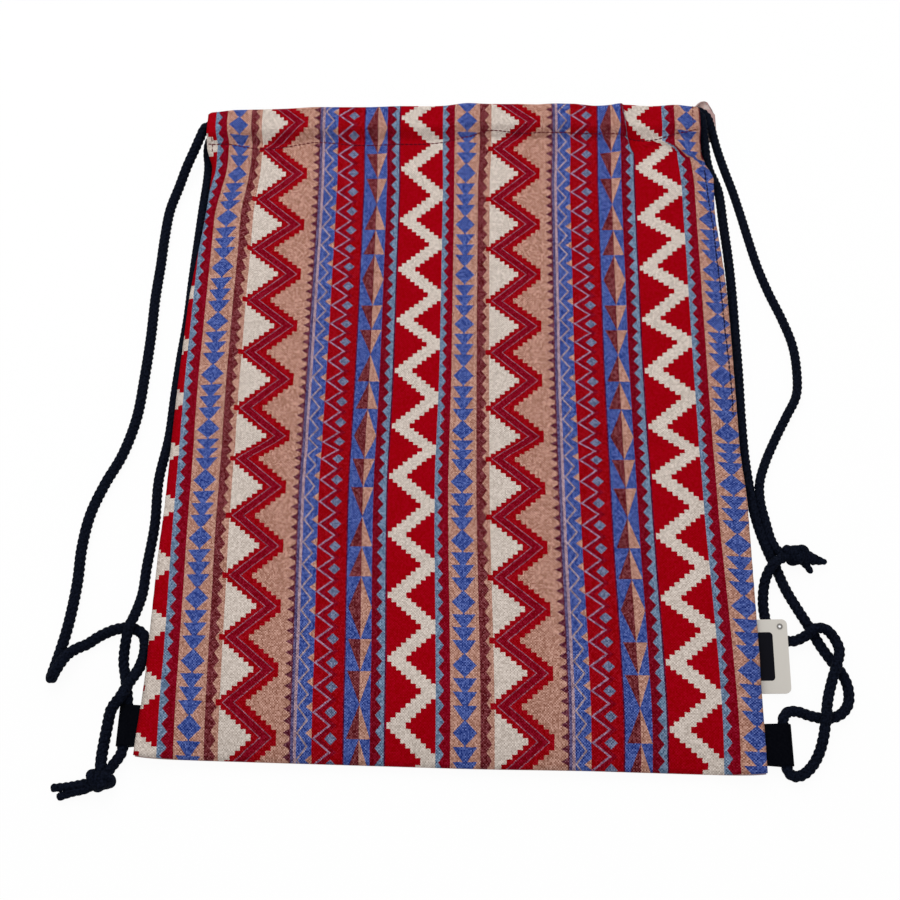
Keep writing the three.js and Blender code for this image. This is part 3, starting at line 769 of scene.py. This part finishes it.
def canvas(name, paleness):
    """Printed plain-weave canvas. Paleness 1 is the bare reverse of the cloth, 0 the print itself."""
    made, tree, shader = material(name)
    uv = add_node(tree, "UVMap")
    uv.uv_map = "Print"
    place = uv.outputs[0]
    parts = add_node(tree, "SeparateXYZ", Vector=place).outputs
    across, down = Number(tree, parts[0]), Number(tree, parts[1])

    # The weave: threads over and under, a little uneven
    blur = noise(tree, place, **WANDER_NOISE) * (WEAVE_WANDER * 2)
    x = across.fraction() * PRINT_WIDTH + blur
    colour = print_colour(tree, x, down + blur / PRINT_HEIGHT)
    warp = across * (PRINT_WIDTH / THREAD_ACROSS)
    weft = down * (PRINT_HEIGHT / THREAD_ALONG)
    weave = (warp * math.pi).sine() * (weft * math.pi).sine()
    cell = add_node(tree, "CombineXYZ", X=warp.whole(), Y=weft.whole())
    thread = add_node(tree, "TexWhiteNoise", Vector=cell.outputs[0])
    thread.noise_dimensions = "2D"

    # Lighter and darker as the eye sees it, and less in the deep reds: threads take the dye unevenly at
    # random, and the over-and-under checker of the weave is painted shade of the threads' relief
    shade = weave * (WEAVE_SHADE / 2) + (Number(tree, thread.outputs[0]) - 0.5) * THREAD_SHADE
    shade = shade + noise(tree, place, **GRAIN_NOISE) * CLOTH_SHADE
    seen = add_node(tree, "Gamma", Color=colour, Gamma=1 / EYE_GAMMA).outputs[0]
    green = Number(tree, add_node(tree, "SeparateColor", Color=seen).outputs[1])
    calm = (green - WHITE_FROM).at_least(0) * WHITE_CALM
    share = (green * PALE_DYE_SHADE + DEEP_DYE_SHADE).at_most(1) - calm
    tinted = mixed(tree, 1, seen, shade * share, "ADD")
    dyed = add_node(tree, "Gamma", Color=tinted, Gamma=EYE_GAMMA).outputs[0]
    put(tree, shader.inputs["Base Color"], mixed(tree, paleness, dyed, linear(REVERSE)))
    bump = add_node(tree, "Bump", Distance=WEAVE_DEPTH, Height=weave)
    put(tree, shader.inputs["Normal"], bump.outputs[0])
    finish(shader, roughness=0.92, gloss=0.02)
    return made


def fibre(name, colour, highlight_fleck):
    """Matte dark fibre for cords and webbing, with lighter flecks at random that are painted highlight,
    standing for the light the fibres catch.
    """
    made, tree, shader = material(name)
    place = add_node(tree, "TexCoord").outputs["Object"]
    # Flecks of painted highlight, mixed in at random over the fibre
    share = (noise(tree, place, **HIGHLIGHT_FLECK_NOISE) * HIGHLIGHT_FLECK_CONTRAST + 0.5).at_least(0).at_most(1)
    put(tree, shader.inputs["Base Color"], mixed(tree, share, linear(colour), linear(highlight_fleck)))
    finish(shader, roughness=0.8, gloss=0.03)
    return made


CANVAS = canvas("printed_canvas", paleness=0.0)
CANVAS_REVERSE = canvas("canvas_reverse", paleness=0.7)
CORD = fibre("cord_fibre", CORD_BLACK, CORD_HIGHLIGHT_FLECK)
WEBBING = fibre("webbing_fibre", WEBBING_BLACK, WEBBING_HIGHLIGHT_FLECK)
CARD = plain("card", CARD_WHITE, roughness=0.45, gloss=0.3)
CARD_PANEL = plain("card_panel", CARD_DARK, roughness=0.5, gloss=0.05)
RING = plain("ring", RING_GREY, roughness=0.4, gloss=0.3)
MAROON = plain("maroon_thread", THREAD_MAROON, roughness=0.8, gloss=0.05)
NAVY = plain("navy_thread", THREAD_NAVY, roughness=0.8, gloss=0.05)


# The two panels
FRONT = {
    "columns": [
        (-1, 0.54, 0.016), (0.54, 0.635, 0.0052), (0.635, 0.73, 0.0022), (0.73, 0.93, 0.0052),
        (0.93, 1, 0.012),
    ],
    "rows": [(0, 0.9, 0.0072), (0.9, 1, 0.0028)],
    "casing_rows": 20,
    "gather": FRONT_GATHER,
    "top": front_top,
    "outer": lambda y: HEM_MIDDLE + casing_bulge(y),
    "hem": lambda y: 0 * y + HEM_MIDDLE,
    "shape": front_shape,
    "relief": front_relief,
}
BACK = {
    "columns": [(-1, 0.78, 0.02), (0.78, 1, 0.007)],
    "rows": [(0, 1, 0.0105)],
    "casing_rows": 8,
    "gather": BACK_GATHER,
    "top": back_top,
    "outer": lambda y: 0 * y + BACK_MIDDLE,
    "hem": lambda y: BACK_MIDDLE + casing_bulge(y),
    "shape": back_shape,
    "relief": lambda u, x, y: 0 * x,
}
BAKE_MARGIN = 0.006
BAKE_INNER_SHARE = 0.08


def panel(name, node, spec):
    middle, x, along = panel_grid(**spec)
    points, faces, outer_faces = cloth_sheet(middle, CLOTH)
    mesh = mesh_of(name, points, faces)
    flat = print_place(x, along).reshape(-1, 2)
    set_uv(mesh, "Print", np.concatenate([flat, flat]))

    # For baking, the outer side takes most of the square and the inner side a strip under it
    place = np.stack(np.meshgrid(
        np.linspace(BAKE_MARGIN, 1 - BAKE_MARGIN, middle.shape[0]),
        np.linspace(0, 1, middle.shape[1]), indexing="ij"), axis=-1).reshape(-1, 2)
    outer, inner = place.copy(), place.copy()
    outer[:, 1] = mix(BAKE_INNER_SHARE + BAKE_MARGIN, 1 - BAKE_MARGIN, outer[:, 1])
    inner[:, 1] = mix(BAKE_MARGIN, BAKE_INNER_SHARE - BAKE_MARGIN, inner[:, 1])
    set_uv(mesh, "OFBake", np.concatenate([outer, inner]))

    turned = spec["outer"](0) < spec["hem"](0)
    sides = np.zeros(len(faces), dtype=np.int32)
    sides[outer_faces : 2 * outer_faces] = 1
    if turned:
        sides = 1 - sides
    piece = new_piece(name, mesh, [CANVAS, CANVAS_REVERSE], node)
    mesh.polygons.foreach_set("material_index", sides)


panel("front_cloth", "front_panel", FRONT)
panel("back_cloth", "back_panel", BACK)


# Cords: laid from four yarns, along a smooth curve through their points
CURVE_STEPS = 24
LEAST_SPAN = 1e-6
FIRST_SIDE = (0.3, 0.2, 1.0)
ROPE_STEP = 0.0006
HIDDEN_STEP = 0.0016
ROPE_RADIUS = 0.0028
ROPE_SIDES = 24
ROPE_YARNS = 4
ROPE_LEAD = 0.0134
ROPE_GROOVE = 0.16
ROPE_END_ROUND = 0.0012
ROPE_END_LEAST = 0.03


def way_along(path):
    """How far along a path each of its points lies."""
    return np.concatenate([[0], np.cumsum(np.linalg.norm(np.diff(path, axis=0), axis=1))])


def curve_through(points, step):
    """Points at even steps along a centripetal curve through the given ones."""
    p = np.array(points, dtype=float)
    p = np.concatenate([[2 * p[0] - p[1]], p, [2 * p[-1] - p[-2]]])
    dense = []
    for k in range(1, len(p) - 2):
        a, b, c, d = p[k - 1 : k + 3]
        ab, bc, cd = (max(np.linalg.norm(e) ** 0.5, LEAST_SPAN) for e in (b - a, c - b, d - c))
        leave = ((b - a) / ab - (c - a) / (ab + bc) + (c - b) / bc) * bc
        reach = ((c - b) / bc - (d - b) / (bc + cd) + (d - c) / cd) * bc
        t = np.linspace(0, 1, CURVE_STEPS, endpoint=False)[:, None]
        cubic = 2 * b - 2 * c + leave + reach
        square = -3 * b + 3 * c - 2 * leave - reach
        dense.append(b + leave * t + square * t**2 + cubic * t**3)
    dense = np.concatenate([*dense, p[-2:-1]])
    way = way_along(dense)
    even = np.linspace(0, way[-1], max(round(way[-1] / step), 4) + 1)
    return np.stack([np.interp(even, way, dense[:, k]) for k in range(3)], axis=-1)


def side_directions(path):
    """For each point of the path, a direction across it that turns as little as it can."""
    tangents = np.gradient(path, axis=0)
    tangents /= np.linalg.norm(tangents, axis=1, keepdims=True)
    side = np.cross(tangents[0], FIRST_SIDE)
    sides = []
    for tangent in tangents:
        side = side - tangent * side.dot(tangent)
        side = side / np.linalg.norm(side)
        sides.append(side)
    return tangents, np.array(sides)


def tube_faces(rings, around):
    """The walls between rings of points, and a cap on each end."""
    at = np.arange(rings * around).reshape(rings, around)
    after = np.roll(at, -1, axis=1)
    walls = np.stack([at[:-1], after[:-1], after[1:], at[1:]], axis=-1).reshape(-1, 4).tolist()
    return [*walls, at[0, ::-1].tolist(), at[-1].tolist()]


def rope_surface(path, radius=ROPE_RADIUS, around=ROPE_SIDES, grooved=ROPE_GROOVE):
    """Points and faces of a laid cord along the path, with rounded ends, resting on the floor."""
    tangents, sides = side_directions(path)
    ups = np.cross(tangents, sides)
    way = way_along(path)
    angle = np.linspace(0, 2 * math.pi, around, endpoint=False)
    turn = angle[None, :] - (2 * math.pi / ROPE_LEAD) * way[:, None]
    groove = 0.5 - 0.5 * np.cos(turn * ROPE_YARNS)
    from_end = np.minimum(way, way[-1] - way)[:, None] / ROPE_END_ROUND
    rounding = np.sqrt(1 - (1 - np.clip(from_end, ROPE_END_LEAST, 1)) ** 2)
    size = np.broadcast_to(radius, len(path))[:, None] * (1 - grooved * groove) * rounding
    ring = sides[:, None] * np.cos(angle)[None, :, None] + ups[:, None] * np.sin(angle)[None, :, None]
    points = (path[:, None] + ring * size[..., None]).reshape(-1, 3)
    points[:, 2] = np.maximum(points[:, 2], 0)
    return points, tube_faces(len(path), around)


def joined(surfaces):
    points, faces, start = [], [], 0
    for some_points, some_faces in surfaces:
        points.append(some_points)
        faces += [[corner + start for corner in face] for face in some_faces]
        start += len(some_points)
    return np.concatenate(points), faces


def cord_piece(name, node, surfaces):
    return new_piece(name, mesh_of(name, *joined(surfaces)), [CORD], node)


# The held lengths: in by the front casing, round the far end, back by the back casing
RUN_POINTS = 9
RUN_SHORT = 0.001
TURN_POINTS = 7
TURN_SHIFTS = (0.3, 1)


def cord_run(cord):
    near = -1 if cord == "left" else 1
    far = -near
    near_x = near * (hem_end(near) + RUN_PAST_HEM)
    turn_x = far * (hem_end(far) + SEAM_GAP)
    radius = (FRONT_RUN_Z - BACK_RUN_Z) / 2

    def lane(top, x):
        return TOP_Y - RUN_FROM_TOP[cord] + top(2 * x / BAG_WIDTH)

    straight = np.linspace(near_x, turn_x - far * RUN_SHORT, RUN_POINTS)
    turn = np.linspace(0, 1, TURN_POINTS)
    turn_y = mix(lane(front_top, turn_x), lane(back_top, turn_x), smooth(*TURN_SHIFTS, turn))
    bend = np.stack([
        turn_x + far * radius * np.sin(turn * math.pi),
        turn_y,
        BACK_RUN_Z + radius * (1 + np.cos(turn * math.pi)),
    ], axis=-1)
    out = np.stack([straight, lane(front_top, straight), np.full(RUN_POINTS, FRONT_RUN_Z)], axis=-1)
    back = np.stack([straight, lane(back_top, straight), np.full(RUN_POINTS, BACK_RUN_Z)], axis=-1)[::-1]
    return np.concatenate([out, bend, back])


for cord_name in ("left", "right"):
    run = curve_through(cord_run(cord_name), HIDDEN_STEP)
    surface = rope_surface(run, CORD_DIAMETER / 2)
    cord_piece(f"{cord_name}_run_rope", f"{cord_name}_cord_run", [surface])

# The free strands, from the casing's end to the knot: points with no height of their own lie on the floor,
# and each crossing is a low hump
LYING_Z = 0.0026
LEFT_OUTER = [
    (-0.1579, 0.1983, 0.0157), (-0.162, 0.1983, 0.0157), (-0.166, 0.1965, 0.0152),
    (-0.1685, 0.1918, 0.0136), (-0.172, 0.184, 0.0108), (-0.177, 0.1725, 0.0072),
    (-0.1815, 0.1585, 0.004), (-0.186, 0.142), (-0.1875, 0.121), (-0.188, 0.1), (-0.189, 0.077),
    (-0.189, 0.049), (-0.19, 0.021), (-0.192, -0.007), (-0.198, -0.031), (-0.206, -0.049),
    (-0.2125, -0.0685), (-0.215, -0.089), (-0.215, -0.111), (-0.217, -0.135), (-0.2195, -0.15),
    (-0.2213, -0.1585), (-0.2223, -0.1635, 0.0027), (-0.2218, -0.1665, 0.0052), (-0.2197, -0.164, 0.0079),
    (-0.2168, -0.1585, 0.0082), (-0.214, -0.1535, 0.0068), (-0.21, -0.1495, 0.0044),
    (-0.205, -0.1465, 0.0028), (-0.198, -0.1415), (-0.189, -0.1375), (-0.181, -0.137), (-0.174, -0.1405),
    (-0.172, -0.149), (-0.1735, -0.1595, 0.004), (-0.177, -0.1685, 0.0078), (-0.1805, -0.177, 0.01),
    (-0.186, -0.184, 0.0066), (-0.188, -0.1925, 0.0034), (-0.189, -0.202), (-0.1892, -0.209, 0.0032),
    (-0.1885, -0.2159, 0.0049),
]
LEFT_INNER = [
    (-0.1579, 0.1983, 0.0037), (-0.161, 0.198, 0.0037), (-0.164, 0.196, 0.0037),
    (-0.1653, 0.1915, 0.0034), (-0.1652, 0.1845, 0.003), (-0.164, 0.176), (-0.1638, 0.165),
    (-0.1647, 0.145), (-0.1656, 0.12), (-0.1666, 0.09), (-0.1672, 0.061), (-0.1689, 0.035),
    (-0.1701, 0.009), (-0.171, -0.019), (-0.1745, -0.047), (-0.174, -0.075), (-0.176, -0.101),
    (-0.1765, -0.1175, 0.0038), (-0.1785, -0.13, 0.0072), (-0.1808, -0.1375, 0.0082),
    (-0.1822, -0.146, 0.0068), (-0.183, -0.156, 0.0036), (-0.181, -0.166, 0.0027),
    (-0.179, -0.174, 0.0036), (-0.178, -0.18, 0.004), (-0.178, -0.188, 0.004), (-0.178, -0.196, 0.004),
    (-0.178, -0.204, 0.004), (-0.1788, -0.208, 0.004), (-0.1816, -0.2126, 0.004),
    (-0.184, -0.2167, 0.0048),
]
RIGHT_OUTER = [
    (0.1506, 0.2178, 0.0037), (0.156, 0.2184, 0.0037), (0.1605, 0.217, 0.0037), (0.1638, 0.213, 0.0037),
    (0.1653, 0.207, 0.0037), (0.1667, 0.199, 0.0034), (0.1688, 0.188), (0.1724, 0.172), (0.1767, 0.155),
    (0.1805, 0.137), (0.184, 0.119), (0.188, 0.1), (0.1935, 0.081), (0.2003, 0.062), (0.2052, 0.044),
    (0.2063, 0.026), (0.2046, 0.01), (0.1975, -0.004), (0.1896, -0.019), (0.1824, -0.0345),
    (0.1784, -0.047), (0.178, -0.059), (0.1799, -0.0705), (0.1828, -0.0838, 0.003),
    (0.187, -0.0908, 0.0047),
]
RIGHT_INNER = [
    (0.1504, 0.2074, 0.0157), (0.1545, 0.207, 0.0157), (0.157, 0.205, 0.0153), (0.1582, 0.2, 0.014),
    (0.159, 0.193, 0.0118), (0.1598, 0.186, 0.0092), (0.1606, 0.179, 0.0062), (0.1624, 0.171, 0.0038),
    (0.1653, 0.163, 0.003), (0.1675, 0.155), (0.169, 0.13), (0.1704, 0.105), (0.171, 0.08),
    (0.171, 0.055), (0.171, 0.025), (0.1705, -0.005), (0.1708, -0.031), (0.1723, -0.051),
    (0.1746, -0.069), (0.1788, -0.0855), (0.1838, -0.0995), (0.188, -0.1115), (0.1933, -0.1223),
    (0.199, -0.133), (0.2043, -0.1438), (0.21, -0.153), (0.215, -0.1603), (0.2173, -0.1683),
    (0.2162, -0.177), (0.2113, -0.1825), (0.204, -0.1845), (0.1955, -0.1832), (0.1885, -0.181, 0.0028),
    (0.1835, -0.1813, 0.0034), (0.1804, -0.185, 0.0039), (0.18, -0.191, 0.004), (0.18, -0.198, 0.004),
    (0.18, -0.205, 0.004), (0.18, -0.2098, 0.004), (0.1806, -0.2134, 0.004), (0.1832, -0.2158, 0.0038),
    (0.1878, -0.2152, 0.0032), (0.193, -0.2112, 0.0028), (0.1973, -0.2048, 0.0036),
    (0.2003, -0.1958, 0.0066), (0.2024, -0.185, 0.0082), (0.2048, -0.174, 0.0074),
    (0.208, -0.164, 0.0078), (0.2113, -0.1553, 0.0082), (0.2138, -0.147, 0.006),
    (0.2115, -0.1393, 0.0046), (0.2065, -0.1355, 0.007), (0.2005, -0.136, 0.0082),
    (0.1955, -0.1395, 0.0054), (0.1897, -0.1415, 0.0028), (0.183, -0.1405), (0.1775, -0.1355),
    (0.175, -0.1267), (0.175, -0.116, 0.0027), (0.1768, -0.106, 0.0052), (0.181, -0.0985, 0.0082),
    (0.1879, -0.0938, 0.007),
]

# Knots: the strands tied in a trefoil, and the tails that come out of it
LEFT_KNOT = {
    "centre": (-0.1878, -0.2221, 0.0056),
    "turn": -0.3,
    "tails": [
        [(-0.197, -0.224, 0.0048), (-0.205, -0.2252, 0.0036), (-0.215, -0.226, 0.0026)],
        [(-0.1955, -0.2264, 0.0042), (-0.203, -0.2282, 0.003), (-0.2111, -0.231, 0.0026)],
    ],
    "tail_radii": [(0.0030, 0.0023), (0.0030, 0.0023)],
}
RIGHT_KNOT = {
    "centre": (0.1947, -0.0916, 0.0056),
    "turn": -0.2,
    "tails": [
        [(0.203, -0.0936, 0.0042), (0.208, -0.0944, 0.003), (0.2128, -0.0952, 0.0026)],
        [(0.2005, -0.097, 0.0036), (0.2026, -0.1, 0.0027), (0.2037, -0.1018, 0.0026)],
    ],
    "tail_radii": [(0.0062, 0.0014), (0.0034, 0.0016)],
}
KNOT_POINTS = 40
KNOT_RADIUS = 0.0027
KNOT_CORE = 0.42
CORE_TIP = 0.02
CORE_RINGS = 12
CORE_SIDES = 24


def trefoil(centre, turn):
    """The tied part of a knot: a trefoil pulled tight, lying in the knot's size."""
    t = np.linspace(0, 2 * math.pi, KNOT_POINTS)
    loop = np.stack([np.sin(t) + 2 * np.sin(2 * t), np.cos(t) - 2 * np.cos(2 * t), -np.sin(3 * t)], axis=-1)
    reach = np.abs(loop).max(axis=0)
    loop *= (np.array(KNOT_SIZE) / 2 - CORD_DIAMETER / 2) / reach
    cos, sin = math.cos(turn), math.sin(turn)
    spin = np.array([[cos, -sin, 0], [sin, cos, 0], [0, 0, 1]])
    return loop @ spin.T + np.array(centre)


def knot_core(centre):
    """The turns hidden inside a knot, as one rounded lump."""
    tilt = np.linspace(math.pi - CORE_TIP, CORE_TIP, CORE_RINGS)[:, None]
    turn = np.linspace(0, 2 * math.pi, CORE_SIDES, endpoint=False)[None, :]
    out = np.sin(tilt)
    ball = np.stack([out * np.cos(turn), out * np.sin(turn), np.cos(tilt) + 0 * turn], axis=-1)
    points = (ball * np.array(KNOT_SIZE) * KNOT_CORE).reshape(-1, 3) + np.array(centre)
    return points, tube_faces(CORE_RINGS, CORE_SIDES)


def knot(name, node, centre, turn, tails, tail_radii):
    tied = curve_through(trefoil(centre, turn), ROPE_STEP)
    surfaces = [rope_surface(tied, KNOT_RADIUS), knot_core(centre)]
    for points, radii in zip(tails, tail_radii):
        path = curve_through([centre, *points], ROPE_STEP)
        surfaces.append(rope_surface(path, np.linspace(*radii, len(path))))
    return cord_piece(name, node, surfaces)


left_knot = knot("left_knot_rope", "left_knot", **LEFT_KNOT)
right_knot = knot("right_knot_rope", "right_knot", **RIGHT_KNOT)


def strand(name, node, points, into, radius):
    """A free strand, as thick as it looks, which runs on into its knot."""
    points = [(*point, LYING_Z) if len(point) == 2 else point for point in points]
    path = curve_through([*points, into["centre"]], ROPE_STEP)
    piece = cord_piece(name, node, [rope_surface(path, radius)])


strand(
    "left_outer_rope", "left_cord_outer", LEFT_OUTER, LEFT_KNOT, radius=0.0033,
)
strand("left_inner_rope", "left_cord_inner", LEFT_INNER, LEFT_KNOT, radius=0.0031)
strand(
    "right_outer_rope", "right_cord_outer", RIGHT_OUTER, RIGHT_KNOT, radius=0.0029,
)
strand("right_inner_rope", "right_cord_inner", RIGHT_INNER, RIGHT_KNOT, radius=0.0031)


# Stitches on the front: the casing's line in maroon, and the right seam's topstitching in navy
CASING_LINE = [
    (-0.1628, 0.1843), (-0.144, 0.1827), (-0.1276, 0.1811), (-0.1039, 0.1842), (-0.0916, 0.1858),
    (-0.0568, 0.1833), (-0.0193, 0.1848), (0.0055, 0.1887), (0.0189, 0.1929), (0.0475, 0.1913),
    (0.0722, 0.192), (0.1, 0.1895), (0.124, 0.1868), (0.1425, 0.1896), (0.1536, 0.1925),
]
LEFT_END_LINE = [(-0.1597, 0.1789), (-0.16, 0.184), (-0.1604, 0.1891)]
RIGHT_END_LINE = [(0.1511, 0.1947), (0.1513, 0.2025), (0.1516, 0.2106)]
SEAM_LINE = [
    (0.1576, 0.1664), (0.1587, 0.1505), (0.1601, 0.1348), (0.1611, 0.1218), (0.1617, 0.1026),
    (0.1627, 0.0817), (0.1632, 0.0664), (0.1635, 0.0512), (0.1643, 0.0313), (0.1648, 0.0118),
    (0.1645, -0.0073),
]
THREAD_SIDES = 8
THREAD_STEP = 0.0004
STITCH_STEPS = 6
STITCH_PROUD = 0.0001


def front_height(x, y):
    """How high the outside of the front lies at places on it."""
    u = x / half_width(x, y, FRONT_GATHER)
    return FRONT["outer"](y - front_top(u)) + front_shape(u, y) + front_relief(u, x, y) + CLOTH / 2


def sewn(name, line, thread, radius, pitch):
    """Stitches along a line on the front, each of them so many steps after the one before."""
    path = curve_through([(x, y, 0) for x, y in line], THREAD_STEP)
    path[:, 2] = front_height(path[:, 0], path[:, 1]) + STITCH_PROUD
    starts = range(0, len(path) - STITCH_STEPS, pitch)
    stitches = [path[start : start + STITCH_STEPS + 1] for start in starts]
    surfaces = [rope_surface(stitch, radius, THREAD_SIDES, 0) for stitch in stitches]
    new_piece(name, mesh_of(name, *joined(surfaces)), [thread])


sewn("casing_stitches", CASING_LINE, MAROON, radius=0.0004, pitch=7)
sewn("left_end_stitches", LEFT_END_LINE, MAROON, radius=0.0003, pitch=8)
sewn("right_end_stitches", RIGHT_END_LINE, MAROON, radius=0.0003, pitch=8)
sewn("seam_stitches", SEAM_LINE, NAVY, radius=0.0005, pitch=7)


# Tabs: webbing folded round the cord
TAB_STEP = 0.0007
TAB_COLUMNS = 30
TAB_FOLD_POINTS = 13
TAB_OPENING = 2 * math.pi / 3
TAB_RIB = 0.00012
TAB_RIB_PITCH = 0.0016


def tab(name, node, side):
    reach = TAB_REACH["left" if side < 0 else "right"]
    radius = TUNNEL / 2 + TAB_CLOTH / 2
    centre_z = TUNNEL / 2 + TAB_CLOTH
    low = BOTTOM_LIFT + CLOTH + SEAM_GAP + TAB_CLOTH / 2
    high = low + TAB_CLOTH
    angle = np.linspace(-TAB_OPENING, TAB_OPENING, TAB_FOLD_POINTS)
    bend = np.stack([reach + radius * np.cos(angle), centre_z + radius * np.sin(angle)], axis=-1)
    fold = np.concatenate([[(-TAB_SEWN_IN, low), (0, low)], bend, [(0, high), (-TAB_SEWN_IN, high)]])
    fold = curve_through(np.insert(fold, 1, 0, axis=1), TAB_STEP)
    across = np.linspace(0, TAB_WIDTH, TAB_COLUMNS + 1)
    grid = np.empty((TAB_COLUMNS + 1, len(fold), 3))
    grid[..., 0] = side * (BAG_WIDTH / 2 + fold[:, 0])
    grid[..., 1] = (tab_top_y(side) - TAB_WIDTH + across)[:, None]
    grid[..., 2] = fold[:, 2] + TAB_RIB * np.sin(2 * math.pi * across / TAB_RIB_PITCH)[:, None]
    if side > 0:
        grid = grid[::-1]
    points, faces, _ = cloth_sheet(grid, TAB_CLOTH)
    new_piece(name, mesh_of(name, points, faces), [WEBBING], node)


tab("left_webbing", "left_tab", -1)
tab("right_webbing", "right_tab", 1)


# The hang tag: a bare card with a ringed hole and a plain dark panel
TAG_ARC = 8
TAG_PANEL = (0.0092, 0.0070, 0.0218, 0.0338)
TAG_PANEL_CORNER = 0.002
TAG_PANEL_PROUD = 0.00005
RING_RADII = (0.0016, 0.0007)
RING_HEIGHT = 0.0003
HOLE_SIDES = 28


def arc(cx, cy, radius, turns):
    return [(cx + radius * math.cos(turn), cy + radius * math.sin(turn)) for turn in turns]


def rounded_rectangle(x0, y0, x1, y1, corner):
    left, right, low, high = x0 + corner, x1 - corner, y0 + corner, y1 - corner
    points = []
    for quarter, place in enumerate(((right, low), (right, high), (left, high), (left, low))):
        turns = np.linspace(quarter - 1, quarter, TAG_ARC + 1) * (math.pi / 2)
        points += arc(*place, corner, turns)
    return points


def circle(cx, cy, radius):
    return arc(cx, cy, radius, np.linspace(0, 2 * math.pi, HOLE_SIDES, endpoint=False))


def plate(name, outlines, low, high):
    """A flat plate with the first outline as its edge and the others as holes."""
    form = bmesh.new()
    for outline in outlines:
        corners = [form.verts.new((x, y, low)) for x, y in outline]
        for a, b in zip(corners, corners[1:] + corners[:1]):
            form.edges.new((a, b))
    bmesh.ops.triangle_fill(form, edges=form.edges[:], use_beauty=True, normal=(0, 0, -1))
    lid = bmesh.ops.extrude_face_region(form, geom=form.faces[:])
    moved = [part for part in lid["geom"] if isinstance(part, bmesh.types.BMVert)]
    bmesh.ops.translate(form, verts=moved, vec=(0, 0, high - low))
    bmesh.ops.recalc_face_normals(form, faces=form.faces[:])
    mesh = bpy.data.meshes.new(name)
    form.to_mesh(mesh)
    form.free()
    return mesh


def tag():
    up = Vector((-TAG_SLOPE, -TAG_SLOPE, 1)).normalized()
    lean = Vector((0, 0, 1)).rotation_difference(up).to_matrix().to_4x4()
    corner = (BAG_WIDTH / 2 + TAG_OUT - TAG_WIDTH, TAG_ABOVE_BOTTOM - BAG_HEIGHT / 2, SEAM_GAP)
    place = Matrix.Translation(corner) @ lean
    hole = (TAG_WIDTH - TAG_HOLE_INSET, TAG_HEIGHT - TAG_HOLE_INSET)
    edge = rounded_rectangle(0, 0, TAG_WIDTH, TAG_HEIGHT, TAG_CORNER)
    card_mesh = plate("tag_card", [edge, circle(*hole, TAG_HOLE / 2)], 0, TAG_THICKNESS)
    panel_edge = rounded_rectangle(*TAG_PANEL, TAG_PANEL_CORNER)
    panel_mesh = plate("tag_panel", [panel_edge], TAG_THICKNESS / 2, TAG_THICKNESS + TAG_PANEL_PROUD)
    ring_edges = [circle(*hole, radius) for radius in RING_RADII]
    ring_mesh = plate("tag_ring", ring_edges, TAG_THICKNESS / 2, TAG_THICKNESS + RING_HEIGHT)
    looks = ((card_mesh, CARD, "hang_tag"), (panel_mesh, CARD_PANEL, None), (ring_mesh, RING, None))
    for mesh, look, node in looks:
        mesh.transform(place)
        new_piece(mesh.name, mesh, [look], node)


tag()


# The stage: a white floor that keeps the bag's shadow, and soft light from above
FLOOR_SIZE = 8.0
FLOOR_BELOW = 0.0002
FLOOR_GLOW = 0.95
FLOOR_ROUGHNESS = 0.9
SKY_WHITE = (1, 1, 1, 1)
WORLD_LIGHT = 0.65
KEY_LIGHT = {"place": (-0.25, 0.85, 1.15), "size": 1.2, "watts": 11}


def blended(tree, share, under, above, end):
    """Ends a tree in a mix of two shaders."""
    blend = add_node(tree, "MixShader")
    for socket, value in zip(blend.inputs, (share, under.outputs[0], above.outputs[0])):
        put(tree, socket, value)
    put(tree, tree.nodes[end].inputs[0], blend.outputs[0])


def floor():
    half = FLOOR_SIZE / 2
    corners = [(x * half, y * half, -FLOOR_BELOW) for x, y in ((-1, -1), (1, -1), (1, 1), (-1, 1))]
    made, tree, shader = material("white_floor")
    shader.inputs["Base Color"].default_value = linear(FLOOR_WHITE)
    finish(shader, FLOOR_ROUGHNESS, gloss=0.0)
    ray = add_node(tree, "LightPath")
    seen = Number(tree, ray.outputs["Is Camera Ray"]).at_least(ray.outputs["Is Glossy Ray"])
    blended(tree, seen * FLOOR_GLOW, shader, add_node(tree, "Emission"), "Material Output")
    mesh = mesh_of("floor", corners, [(0, 1, 2, 3)])
    mesh.materials.append(made)
    new_object("floor", mesh)


def world():
    made = bpy.data.worlds.new("soft_sky")
    made.use_nodes = True
    tree = made.node_tree
    sky = tree.nodes["Background"]
    sky.inputs["Strength"].default_value = WORLD_LIGHT
    sky.inputs["Color"].default_value = SKY_WHITE
    seen = add_node(tree, "LightPath").outputs["Is Camera Ray"]
    blended(tree, seen, sky, add_node(tree, "Background", Color=SKY_WHITE), "World Output")
    bpy.context.scene.world = made


def lamp(name, place, size, watts):
    data = bpy.data.lights.new(name, "AREA")
    data.size = size
    data.energy = watts
    made = new_object(name, data)
    made.location = place
    made.rotation_euler = (-Vector(place)).to_track_quat("-Z", "Y").to_euler()


floor()
world()
lamp("key_light", **KEY_LIGHT)

# The camera, as the photograph was taken: from above the bag's foot
CAMERA_PLACE = Vector((0.01859, -0.34554, 0.73710))
CAMERA_FORWARD = Vector((-0.02663, 0.39829, -0.91687))
CAMERA_UP = Vector((-0.00412, 0.91715, 0.39853))
CAMERA_LENS = 54
CAMERA_SENSOR = 36
CAMERA_NEAR = 0.01


def camera():
    data = bpy.data.cameras.new("camera")
    data.lens = CAMERA_LENS
    data.sensor_width = CAMERA_SENSOR
    data.clip_start = CAMERA_NEAR
    made = new_object("camera", data)
    right = CAMERA_FORWARD.cross(CAMERA_UP).normalized()
    up = right.cross(CAMERA_FORWARD).normalized()
    turn = Matrix((right, up, -CAMERA_FORWARD.normalized())).transposed()
    made.matrix_world = Matrix.Translation(CAMERA_PLACE) @ turn.to_4x4()
    bpy.context.scene.camera = made


camera()
bpy.context.scene.view_settings.view_transform = "Standard"
